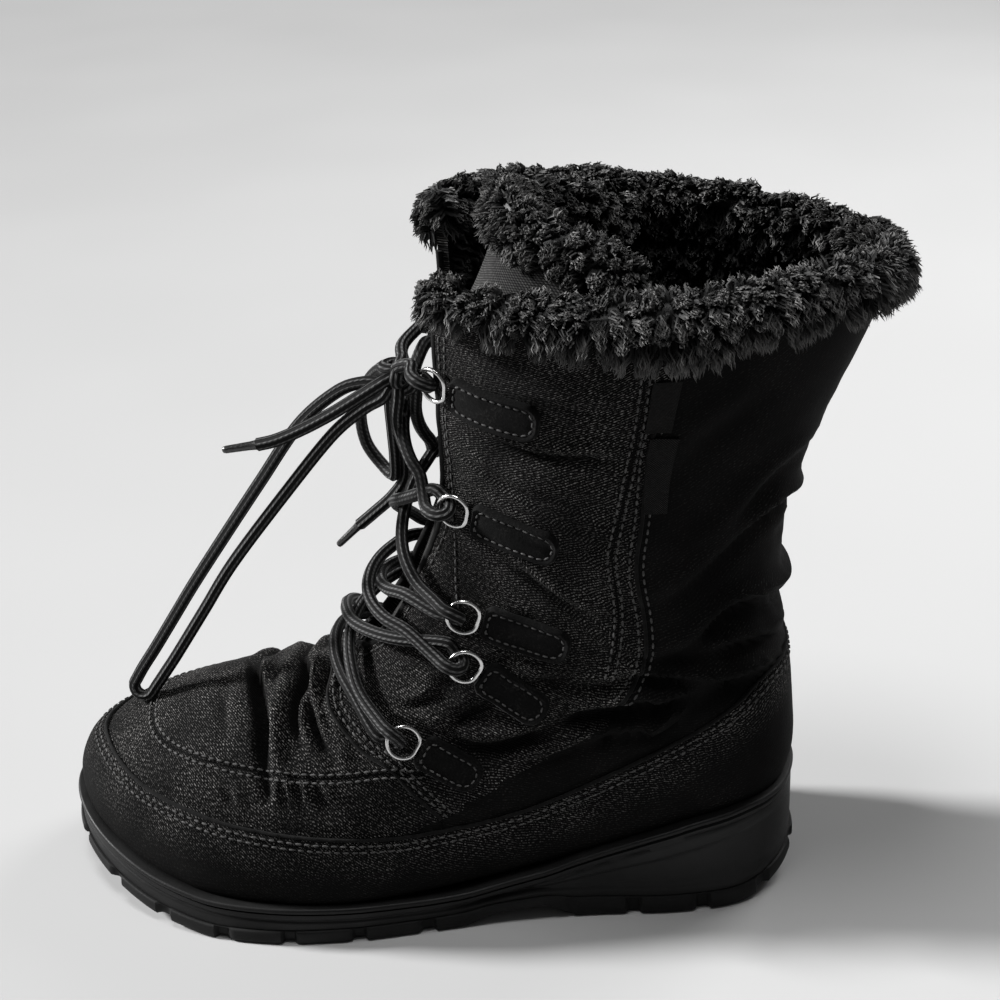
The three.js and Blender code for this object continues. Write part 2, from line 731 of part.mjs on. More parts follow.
// ---------------------------------------------------------------- rings and tabs
// The nearest point of the last to a given one: a coarse search, then ever smaller steps.
function nearestOnLast(point) {
  let u = 0;
  let angle = 0;
  let best = Infinity;
  for (let i = 4; i < 2 * LAST_END; i += 1) {
    for (let k = 0; k < AROUND; k += 1) {
      const a = (k / AROUND) * 2 * Math.PI;
      const distance = onLast(i / 2, a).distanceTo(point);
      if (distance < best) [best, u, angle] = [distance, i / 2, a];
    }
  }
  for (let span = 0.25; span > 1e-4; span /= 1.5) {
    for (const [du, da] of [[span, 0], [-span, 0], [0, span], [0, -span]]) {
      const distance = onLast(u + du, angle + da).distanceTo(point);
      if (distance < best) [best, u, angle] = [distance, u + du, angle + da];
    }
  }
  return { u, angle };
}

// Local axes on the last: forward runs from the tab's end to the ring.
function seatOf(place, towards) {
  const { u, angle } = nearestOnLast(place);
  const origin = onLast(u, angle);
  const out = onLast(u, angle, 1).sub(origin).normalize();
  const forward = origin.clone().sub(towards);
  forward.addScaledVector(out, -forward.dot(out)).normalize();
  const up = new THREE.Vector3().crossVectors(out, forward);
  return { origin, out, forward, up, u, angle };
}

function ringSeat(row, side) {
  const place = new THREE.Vector3(side * row.x, row.y, row.z);
  return seatOf(place, new THREE.Vector3(side * row.tabX, row.tabY, row.tabZ));
}

const fromSeat = (seat, forward, up, out) => seat.origin
  .clone()
  .addScaledVector(seat.forward, forward)
  .addScaledVector(seat.up, up)
  .addScaledVector(seat.out, out);

// A wire bent to a D: a straight bar in the tab and a round front.
function makeRing(seat) {
  const line = [];
  for (let i = 0; i <= 6; i += 1) {
    const turn = (i / 6 - 0.5) * Math.PI;
    line.push([RING.front * Math.cos(turn), RING.half * Math.sin(turn)]);
  }
  line.push([-RING.back + 1, RING.half], [-RING.back, RING.half - 1.5]);
  line.push([-RING.back, 1.5 - RING.half], [-RING.back + 1, -RING.half]);
  const count = line.length;
  const rings = [];
  for (let i = 0; i < count; i += 1) {
    const before = line[(i + count - 1) % count];
    const after = line[(i + 1) % count];
    const along = new THREE.Vector2(after[0] - before[0], after[1] - before[1]).normalize();
    const ring = [];
    for (let k = 0; k < RING.sides; k += 1) {
      const turn = (k / RING.sides) * 2 * Math.PI;
      const across = RING.wire * Math.cos(turn);
      const point = [line[i][0] + along.y * across, line[i][1] - along.x * across];
      ring.push(fromSeat(seat, ...point, RING.lift + RING.wire * Math.sin(turn)));
    }
    rings.push(ring);
  }
  return toGeometry(toSolid(closedLoop(rings)));
}

function tabOutline(length) {
  const half = TAB.width / 2;
  const shape = new THREE.Shape();
  shape.moveTo(0, 1.5 - half);
  shape.lineTo(0, half - 1.5);
  shape.lineTo(-1.5, half);
  shape.lineTo(TAB.corner - length, half);
  shape.quadraticCurveTo(-length, half, -length, half - TAB.corner);
  shape.lineTo(-length, TAB.corner - half);
  shape.quadraticCurveTo(-length, -half, TAB.corner - length, -half);
  shape.lineTo(-1.5, -half);
  shape.closePath();
  return shape;
}

// A leather tab, cut out of a skin over the last.
function makeTab(row, side, skin) {
  const seat = ringSeat(row, side);
  const end = new THREE.Vector3(side * row.tabX, row.tabY, row.tabZ);
  const front = fromSeat(seat, -RING.back - RING.wire - TAB.frontGap, 0, 0);
  const middle = seatOf(front.clone().add(end).multiplyScalar(0.5), end);
  const length = front.distanceTo(end);
  const blank = new THREE.ExtrudeGeometry(tabOutline(length), { depth: BLANK, bevelEnabled: false, curveSegments: TAB.curve });
  blank.translate(length / 2, 0, -BLANK / 2);
  const basis = new THREE.Matrix4().makeBasis(middle.forward, middle.up, middle.out);
  basis.setPosition(middle.origin);
  blank.applyMatrix4(basis);
  return toGeometry(toSolid(blank).intersect(skin));
}

// ---------------------------------------------------------------- laces
function cordTube(points) {
  const curve = new THREE.CatmullRomCurve3(points);
  const section = new THREE.Shape();
  for (let k = 0; k < CORD_SIDES; k += 1) {
    const turn = (k / CORD_SIDES) * 2 * Math.PI;
    const corner = [(CORD / 2) * Math.cos(turn), (CORD / 2) * Math.sin(turn)];
    if (k === 0) section.moveTo(...corner);
    else section.lineTo(...corner);
  }
  const steps = Math.ceil(curve.getLength() / CORD_STEP);
  return new THREE.ExtrudeGeometry(section, { steps, extrudePath: curve, bevelEnabled: false });
}

const laceEnd = (row, side) => nearestOnLast(fromSeat(ringSeat(row, side), LACE_OUT, 0, 0));

// A cord over the tongue from one ring to another, round the front of the last.
function crossingPath(start, end, row, proud) {
  const points = [];
  for (let i = 0; i <= 6; i += 1) {
    const t = i / 6;
    const bow = Math.sin(Math.PI * t);
    const u = THREE.MathUtils.lerp(start.u, end.u, t) + (row - (start.u + end.u) / 2) * bow;
    const angle = THREE.MathUtils.lerp(start.angle, end.angle, t);
    points.push(onLast(u, angle, LACE_CLEAR + (proud - LACE_CLEAR) * bow));
  }
  return points;
}

function makeCrossings() {
  const ends = RINGS.map((row) => [laceEnd(row, 1), laceEnd(row, -1)]);
  const paths = [crossingPath(...ends[LACE_BAR.ring], LACE_BAR.row, LACE_BAR.proud)];
  for (const { from, to, row, proud } of CROSSINGS) {
    paths.push(crossingPath(ends[from][0], ends[to][1], row, proud));
    paths.push(crossingPath(ends[from][1], ends[to][0], row, proud));
  }
  return toGeometry(wasm.Manifold.union(paths.map((path) => toSolid(cordTube(path)))));
}

function makeKnot() {
  const centre = new THREE.Vector3(KNOT.x, KNOT.y, KNOT.z);
  const ball = new THREE.IcosahedronGeometry(KNOT.radius, 1).translate(...centre.toArray());
  let solid = toSolid(ball);
  for (const side of [1, -1]) {
    const { u, angle } = laceEnd(RINGS[0], side);
    const start = onLast(u + KNOT.above, angle, LACE_CLEAR);
    const over = start.clone().lerp(centre, 0.5).add(new THREE.Vector3(0, -1, 1));
    solid = solid.add(toSolid(cordTube([start, over, centre])));
  }
  return toGeometry(solid);
}

const asPoints = (rows) => rows.map((row) => new THREE.Vector3(...row));

function makeAglet({ cord, to }) {
  const from = new THREE.Vector3(...CORD_ROUTES[cord].at(-1));
  const direction = new THREE.Vector3(...to).sub(from).normalize();
  const geometry = new THREE.CylinderGeometry(AGLET.radius, AGLET.radius, AGLET.length, CORD_SIDES);
  geometry.translate(0, AGLET.length / 2 + AGLET.gap, 0);
  geometry.applyQuaternion(new THREE.Quaternion().setFromUnitVectors(new THREE.Vector3(0, 1, 0), direction));
  return geometry.translate(...from.toArray());
}

// ---------------------------------------------------------------- assembly
const FINISHES = {
  rubber: { color: 0x1b1b1c, roughness: 0.62, metalness: 0 },
  fabric: { color: 0x1d1c1b, roughness: 0.9, metalness: 0 },
  lining: { color: 0x2a2a2a, roughness: 0.95, metalness: 0 },
  fur: { color: 0x202021, roughness: 1, metalness: 0 },
  leather: { color: 0x191919, roughness: 0.55, metalness: 0 },
  steel: { color: 0xc9c9c6, roughness: 0.18, metalness: 1 },
  cord: { color: 0x1a1b1b, roughness: 0.8, metalness: 0 },
};

const boot = new THREE.Group();

function addPiece(name, geometry, finish) {
  const mesh = new THREE.Mesh(geometry, new THREE.MeshStandardMaterial(FINISHES[finish]));
  mesh.name = name;
  boot.add(mesh);
}

addPiece('outsole', makeOutsole(), 'rubber');
addPiece('midsole', makeMidsole(), 'rubber');
addPiece('insole', makeInsole(), 'lining');
addPiece('upper', makeUpper(), 'fabric');
addPiece('tongue', makeTongue(), 'fabric');
addPiece('tongue_fur', makeTongueFur(), 'fur');
addPiece('fur_collar', makeFurCollar(), 'fur');

const tabSkin = lastForm(GAP + TAB.thick).subtract(lastForm(GAP));
for (const [i, row] of RINGS.entries()) {
  for (const [label, side] of [['outer', 1], ['inner', -1]]) {
    addPiece(`ring_${label}_${i + 1}`, makeRing(ringSeat(row, side)), 'steel');
    addPiece(`tab_${label}_${i + 1}`, makeTab(row, side, tabSkin), 'leather');
  }
}

addPiece('lace_crossings', makeCrossings(), 'cord');
addPiece('lace_knot', makeKnot(), 'cord');
for (const [name, route] of Object.entries(CORD_ROUTES)) addPiece(name, cordTube(asPoints(route)), 'cord');
for (const [name, end] of Object.entries(AGLET_ENDS)) addPiece(name, makeAglet(end), 'cord');

export default boot;
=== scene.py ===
"""Lace-up snow boot: its looks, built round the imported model, in metres."""
import logging
from dataclasses import dataclass
from enum import Enum
from math import cos, pi, radians, sin
from typing import Optional, Sequence

import bpy
import numpy as np
from mathutils import Matrix, Vector


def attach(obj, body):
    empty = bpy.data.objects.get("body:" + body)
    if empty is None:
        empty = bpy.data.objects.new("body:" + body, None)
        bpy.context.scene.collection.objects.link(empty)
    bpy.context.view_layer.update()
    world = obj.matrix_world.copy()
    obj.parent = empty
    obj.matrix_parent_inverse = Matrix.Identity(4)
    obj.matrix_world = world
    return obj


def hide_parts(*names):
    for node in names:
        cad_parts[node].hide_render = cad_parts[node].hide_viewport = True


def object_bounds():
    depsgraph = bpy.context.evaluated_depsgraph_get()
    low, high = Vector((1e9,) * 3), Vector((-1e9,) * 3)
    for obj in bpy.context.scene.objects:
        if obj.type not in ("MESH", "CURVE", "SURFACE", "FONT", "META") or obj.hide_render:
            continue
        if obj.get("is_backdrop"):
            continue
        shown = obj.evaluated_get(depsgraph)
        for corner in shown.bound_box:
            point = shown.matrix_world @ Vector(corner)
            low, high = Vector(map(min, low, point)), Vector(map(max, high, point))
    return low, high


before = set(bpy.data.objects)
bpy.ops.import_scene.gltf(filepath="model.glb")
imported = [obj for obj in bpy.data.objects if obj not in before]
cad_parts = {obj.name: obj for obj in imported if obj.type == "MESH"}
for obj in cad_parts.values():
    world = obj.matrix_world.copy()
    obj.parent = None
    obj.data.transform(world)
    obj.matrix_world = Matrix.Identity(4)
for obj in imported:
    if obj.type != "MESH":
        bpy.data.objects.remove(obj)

LOG = logging.getLogger("snow_boot")
CAD_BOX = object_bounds()
MM = 0.001
BODY = "root"

Array = np.ndarray

WALL = 4.5            # the upper's thickness
CORD = 4.2            # the lace's diameter
THROAT_FOOT = 6.7     # the section where the throat opens
LEAST_PILE = 1.2      # the least radius of a pile's base


# ---------------------------------------------------------------- numbers

def smoothstep(value: Array, low: float, high: float) -> Array:
    """Return a soft step from 0 at low to 1 at high."""
    t = np.clip((np.asarray(value, float) - low) / (high - low), 0, 1)
    return t * t * (3 - 2 * t)


def bell(value: Array, width: float) -> Array:
    """Return a bell curve of that half width."""
    return np.exp(-(np.asarray(value) / width) ** 2)


def unit(vectors: Array) -> Array:
    """Return the vectors at length one."""
    size = np.linalg.norm(vectors, axis=-1, keepdims=True)
    return vectors / np.maximum(size, 1e-12)


def cubic(a: Array, b: Array, c: Array, d: Array, t: Array) -> Array:
    """Return the smooth curve from b to c, at t from 0 to 1, with a before and d after."""
    return 0.5 * (2 * b + (c - a) * t + (2 * a - 5 * b + 4 * c - d) * t ** 2
                  + (3 * b - a - 3 * c + d) * t ** 3)


def run_length(points: Array) -> Array:
    """Return how far along a line each of its points lies."""
    return np.r_[0, np.cumsum(np.linalg.norm(np.diff(points, axis=0), axis=1))]


def spline(rows: Sequence[Sequence[float]], steps: int) -> Array:
    """Run a smooth curve through points.

    Args:
        rows: The points, each of the same count of numbers.
        steps: Points of the result for each span.
    Returns:
        The curve's points, first and last point included.
    """
    p = np.asarray(rows, float)
    p = np.vstack([2 * p[0] - p[1], p, 2 * p[-1] - p[-2]])
    t = np.linspace(0, 1, steps, endpoint=False)[:, None]
    spans = [cubic(a, b, c, d, t) for a, b, c, d in zip(p, p[1:], p[2:], p[3:])]
    return np.vstack(spans + [p[-2:-1]])


def even(points: Array, spacing: float, closed: bool = False) -> Array:
    """Space a line's points evenly.

    Args:
        points: The line.
        spacing: Wanted distance between points.
        closed: Whether the line returns to its start.
    Returns:
        The new points; a closed line doesn't repeat its first point.
    """
    line = np.vstack([points, points[:1]]) if closed else np.asarray(points)
    run = run_length(line)
    count = max(3, int(round(run[-1] / spacing)) + 1)
    at = np.linspace(0, run[-1], count)
    if closed:
        at = at[:-1]
    return np.stack([np.interp(at, run, line[:, k]) for k in range(line.shape[1])], 1)


class Noise:
    """Smooth seeded noise in space, between -1 and 1."""

    SIDE = 32

    def __init__(self, seed: int) -> None:
        """Fill the lattice."""
        generator = np.random.default_rng(seed)
        self.lattice = generator.uniform(-1, 1, (self.SIDE,) * 3)

    def __call__(self, points: Array, size: float) -> Array:
        """Read the noise.

        Args:
            points: Places, in the last axis.
            size: Distance over which the noise changes.
        Returns:
            One value for each place.
        """
        q = np.asarray(points) / size + 500.0
        low = np.floor(q).astype(int)
        f = q - low
        f = f * f * (3 - 2 * f)
        total = 0.0
        for i in (0, 1):
            for j in (0, 1):
                for k in (0, 1):
                    weight = (np.where(i, f[..., 0], 1 - f[..., 0])
                              * np.where(j, f[..., 1], 1 - f[..., 1])
                              * np.where(k, f[..., 2], 1 - f[..., 2]))
                    total = total + weight * self.lattice[
                        (low[..., 0] + i) % self.SIDE,
                        (low[..., 1] + j) % self.SIDE,
                        (low[..., 2] + k) % self.SIDE]
        return total


NOISE = Noise(11)


# ---------------------------------------------------------------- the last

class Last:
    """The boot's outer form: sections that fan from the toe tip to the top."""

    # front y, front z, low y, low z, low axis, front axis, outer half, inner half,
    # share of the height at the widest, low roundness, front roundness
    ROWS = (
        (-234.5, 36, -234.5, 36, -12, -12, 0, 0, 0.5, 2.2, 2.2),
        (-230.5, 48.5, -230, 24.5, -12, -12, 17, 15, 0.44, 2.6, 2.2),
        (-220, 57.5, -217, 19.5, -9, -10, 32, 27.5, 0.38, 3.2, 2.2),
        (-202, 67.5, -199, 14.5, -5, -7, 43.5, 39, 0.34, 4, 2.2),
        (-178, 76, -176, 10.5, -1, -5, 51.5, 46, 0.31, 4.6, 2.15),
        (-152, 83, -150, 9, 1.5, -4, 54, 49, 0.29, 5, 2.1),
        (-130, 90, -124, 8.5, 1.5, -4, 54, 47, 0.28, 5, 2.1),
        (-115, 100, -96, 10, 0.5, -4, 50.5, 42, 0.28, 5, 2.1),
        (-104, 116, -66, 13.5, 0, -3, 45.5, 38.5, 0.28, 5, 2.2),
        (-96.5, 134, -34, 19, 0, -2, 42.5, 38, 0.3, 4.8, 2.3),
        (-91, 150, 0, 25, 0, -1, 41.5, 38.5, 0.32, 4.4, 2.3),
        (-88, 163, 28, 29.5, 0, 0, 41, 39, 0.36, 3.4, 2.3),
        (-86.5, 174, 43.5, 48, 0, 0, 41.5, 40, 0.42, 2.6, 2.3),
        (-86, 184, 43.5, 80, 0, 0, 42, 41, 0.46, 2.4, 2.3),
        (-85.5, 193, 40, 112, 0, 0, 43, 42, 0.5, 2.3, 2.3),
        (-85.2, 203, 39.5, 142, 0, 0, 44.5, 43.5, 0.5, 2.3, 2.3),
        (-85.2, 213, 46, 172, 0, 0, 46.5, 45.5, 0.5, 2.3, 2.3),
        (-85.5, 222, 57, 200, 0, 0, 48.5, 47.5, 0.5, 2.3, 2.3),
        (-86, 234, 69, 228, 0, 0, 50, 49.5, 0.5, 2.3, 2.3),
        (-86.5, 248, 74, 248, 0, 0, 51, 50.5, 0.5, 2.3, 2.3),
        (-87, 262, 79, 262, 0, 0, 52, 51.5, 0.5, 2.3, 2.3),
        (-87.5, 281, 86, 281, 0, 0, 54, 53.5, 0.5, 2.3, 2.3),
    )
    TOP = 21.0
    STEP = 0.02

    def __init__(self) -> None:
        """Add the mirrored row before the tip, and a coarse net for searches."""
        rows = [list(row) for row in self.ROWS]
        first = rows[1]
        before = [first[2], first[3], first[0], first[1], *first[4:6],
                  -first[6], -first[7], *first[8:]]
        self.rows = np.array([before] + rows)
        u, a = np.meshgrid(np.linspace(0.02, self.TOP, 260), np.arange(0, 360, 2.5),
                           indexing="ij")
        self.net_at = np.stack([u.ravel(), a.ravel()], 1)
        self.net = self.points(self.net_at[:, 0], self.net_at[:, 1])

    def row(self, u: Array) -> Array:
        """Return the section's numbers at u."""
        u = np.clip(u, 0, self.TOP)
        i = np.minimum(np.floor(u).astype(int), len(self.ROWS) - 2)
        t = (u - i)[..., None]
        top = len(self.rows) - 1
        a, b, c, d = (self.rows[np.minimum(i + k, top)] for k in range(4))
        return cubic(a, b, c, d, t)

    def points(self, u: Array, degrees: Array) -> Array:
        """Return points of the form.

        Args:
            u: Section, 0 at the toe tip.
            degrees: Angle in the section, 0 low or back, 90 outer, 180 top or front.
        Returns:
            The points, in millimetres.
        """
        u, degrees = np.broadcast_arrays(np.asarray(u, float), np.asarray(degrees, float))
        past = u < 0
        u, degrees = np.abs(u), np.where(past, degrees + 180, degrees)
        r = np.moveaxis(self.row(u), -1, 0)
        a = np.radians(degrees)
        c, s = np.cos(a), np.sin(a)
        shape = np.where(c > 0, r[9], r[10])
        reach = np.where(c > 0, r[8], 1 - r[8])
        along = r[8] - reach * np.sign(c) * np.abs(c) ** (2 / shape)
        side = np.sign(s) * np.abs(s) ** (2 / shape)
        half = np.where(side > 0, r[6], r[7])
        axis = r[4] + (r[5] - r[4]) * smoothstep(along, 0.2, 1)
        return np.stack([axis + half * side, r[2] + (r[0] - r[2]) * along,
                         r[3] + (r[1] - r[3]) * along], -1)

    def normals(self, u: Array, degrees: Array) -> Array:
        """Return the form's outward directions."""
        step, turn = self.STEP, np.degrees(self.STEP)
        u = np.minimum(np.maximum(u, 0.04), self.TOP - 0.03)
        ahead = self.points(u + step, degrees) - self.points(u - step, degrees)
        across = self.points(u, degrees + turn) - self.points(u, degrees - turn)
        return unit(np.cross(across, ahead)) * -1.0

    def surface(self, u: Array, degrees: Array, grow: Array) -> Array:
        """Return points that stand grow millimetres off the form."""
        grow = np.asarray(grow, float)
        return self.points(u, degrees) + self.normals(u, degrees) * grow[..., None]

    def locate(self, points: Array) -> Array:
        """Find the nearest places on the form.

        Args:
            points: Points near the form, in millimetres.
        Returns:
            The section and the angle of each, in two columns.
        """
        points = np.atleast_2d(points)
        found = np.empty((len(points), 2))
        for k in range(0, len(points), 400):
            part = points[k:k + 400]
            gap = ((part[:, None] - self.net[None]) ** 2).sum(-1)
            found[k:k + 400] = self.net_at[gap.argmin(1)]
        grid = np.arange(len(ANGLES))
        found[:, 1] = np.interp(found[:, 1] % 360, ANGLES, grid)

        def at(u: Array, step: Array) -> Array:
            return self.points(u, np.interp(step % grid[-1], grid, ANGLES))

        h = np.array([0.01, 0.1])
        for _ in range(9):
            p = at(found[:, 0], found[:, 1])
            du = (at(found[:, 0] + h[0], found[:, 1]) - p) / h[0]
            da = (at(found[:, 0], found[:, 1] + h[1]) - p) / h[1]
            e = points - p
            a, b, c = (du * du).sum(1), (du * da).sum(1), (da * da).sum(1)
            x, y = (du * e).sum(1), (da * e).sum(1)
            det = np.maximum(a * c - b * b, 1e-9)
            move = np.stack([(c * x - b * y) / det, (a * y - b * x) / det], 1)
            found += np.clip(move, (-0.3, -3), (0.3, 3))
            found[:, 0] = np.clip(found[:, 0], 0.02, self.TOP)
        found[:, 1] = np.interp(found[:, 1] % grid[-1], grid, ANGLES)
        return found


def angle_stops() -> Array:
    """Return angles round a section, close together where the form turns fast."""
    low = np.linspace(0, 84, 57)[:-1]
    turn = np.degrees(np.arccos(cos(radians(84)) * np.linspace(1, 0, 21) ** 2.5))
    half = np.concatenate([low, turn, np.linspace(90, 180, 61)[1:]])
    return np.concatenate([half, 360 - half[-2::-1]])


ANGLES = angle_stops()
LAST = Last()


# ---------------------------------------------------------------- creases and seams

@dataclass(frozen=True)
class Line:
    """A line drawn on the last through (section, angle) places."""

    stops: tuple[tuple[float, float], ...]

    def places(self, spacing: float = 1.0) -> Array:
        """Return evenly spaced (section, angle) places along the line."""
        fine = spline(self.stops, 14)
        run = run_length(LAST.points(fine[:, 0], fine[:, 1]))
        at = np.linspace(0, run[-1], max(int(round(run[-1] / spacing)), 2) + 1)
        return np.stack([np.interp(at, run, fine[:, k]) for k in (0, 1)], 1)

    @staticmethod
    def through(points: Sequence[Sequence[float]],
                more: Sequence[tuple[float, float]]) -> "Line":
        """Draw a line through points in space and on to more places.

        Args:
            points: Points near the last.
            more: Sections and angles that follow them.
        Returns:
            The line.
        """
        tail = LAST.points(*np.array(more).T)
        at = LAST.locate(spline(np.vstack([points, tail]), 7))
        at[:, 1] = np.where(at[:, 1] > 300, at[:, 1] - 360, at[:, 1])
        at[0] = (at[0, 0], 0.0)
        at[-1] = more[-1]
        return Line(tuple(map(tuple, at)))

    def mirrored(self) -> "Line":
        """Return the same line on the other side of the boot."""
        return Line(tuple((u, 360 - a) for u, a in self.stops))


@dataclass(frozen=True)
class Fold:
    """A soft crease: a trough, and a ridge beside it."""

    line: Line
    depth: float
    width: float
    ridge: float = 0.0
    ridge_side: float = 1.0
    both_sides: bool = False

    def relief(self, points: Array) -> Array:
        """Return how far the fold moves each point outwards, in millimetres."""
        total = np.zeros(len(points))
        lines = [(self.line, 1.0)]
        if self.both_sides:
            lines.append((self.line.mirrored(), -1.0))
        for line, hand in lines:
            at = line.places(1.2)
            core = LAST.points(at[:, 0], at[:, 1])
            normal = LAST.normals(at[:, 0], at[:, 1])
            side = np.cross(normal, unit(np.gradient(core, axis=0))) * hand
            room = 5 * self.width + 3
            near = np.flatnonzero(((points > core.min(0) - room)
                                   & (points < core.max(0) + room)).all(1))
            if not len(near):
                continue
            gap = points[near, None] - core[None]
            nearest = (gap ** 2).sum(-1).argmin(1)
            gap = gap[np.arange(len(near)), nearest]
            across = (gap * side[nearest]).sum(1) * self.ridge_side
            far = np.linalg.norm(gap, axis=1)
            away = np.sqrt(np.maximum(far ** 2 - across ** 2, 0))
            share = nearest / max(len(core) - 1, 1)
            fade = np.sin(pi * np.clip(share, 0.04, 0.96)) ** 0.6 * bell(away, self.width * 1.5)
            fade = fade * bell(np.maximum(np.abs(across) - 3 * self.width, 0), self.width)
            total[near] += fade * (self.ridge * bell(across - 1.7 * self.width, self.width)
                                   - self.depth * bell(across, self.width * 0.8))
        return total


# Measured places along the rand's upper edge: x, y, z.
RAND_POINTS = (
    (0, 43.2, 97.5), (14.6, 39.8, 96.2), (30.4, 29.7, 93.4), (40.5, 7.5, 79.2),
    (41.3, -21.6, 63), (43.2, -58.7, 46.5), (49.1, -95.6, 41.4), (53.6, -128.2, 43.3),
    (50.7, -157.9, 46.3), (45, -177.1, 49.2), (33, -197.8, 52.4), (18.6, -211.0, 55.0))
RAND_EDGE = Line.through(RAND_POINTS, ((1.84, 168), (1.76, 180)))
# Seams, as sections and angles, most of them measured too.
PLUG_SEAM = Line((
    (7.9, 112), (7.6, 110), (6.9, 117), (5.3, 126), (4.4, 133), (3.8, 140), (3.4, 148),
    (3.13, 160), (3.02, 173), (3.0, 180)))
QUARTER_EDGE = Line((
    (6.95, 178), (6.3, 170), (6.08, 160), (6.1, 148), (6.35, 137), (6.7, 126), (7.1, 117),
    (7.4, 105), (7.65, 95)))
BAND_FRONT = Line((
    (17.4, 90), (16.1, 88), (14.8, 88.5), (13.0, 93), (12.2, 96), (11.55, 98)))
FLAP_EDGE = Line(((17.5, 150), (15.5, 150), (13.5, 150), (12.2, 150), (11.3, 149), (10.5, 145),
                  (9.9, 139), (9.5, 131)))
BAND_BACK = Line((
    (17.2, 85), (16.3, 85), (14.9, 83), (13.3, 87), (12.1, 91), (11.3, 95)))
# Measured places from the top row down: the ring's, and its tab's far end, in x, y, z.
RINGS = (
    ((22.8, -79.3, 210), (44.2, -45.6, 202.5)), ((24.7, -75.5, 163.6), (40.8, -41, 154)),
    ((30.7, -75, 124), (39.4, -38.5, 113.5)), ((34.5, -75.6, 106), (40.3, -48.2, 87)),
    ((39, -99.6, 76.5), (43, -72.8, 61)))
# Section, half width of the throat.
THROAT_ROWS = ((THROAT_FOOT, 6), (7, 12), (7.6, 16), (11, 18), (15, 19.5), (20, 22), (21, 22))


def rand_angle(u: Array) -> Array:
    """Return the angle of the rand's upper edge in each section."""
    fine = spline(RAND_EDGE.stops, 14)[::-1]
    order = np.argsort(fine[:, 0])
    return np.interp(u, fine[order, 0], fine[order, 1], left=181, right=-30)


def throat_half(u: Array) -> Array:
    """Return half the width of the throat in each section, in millimetres."""
    return np.interp(u, *np.array(THROAT_ROWS).T, left=-1)


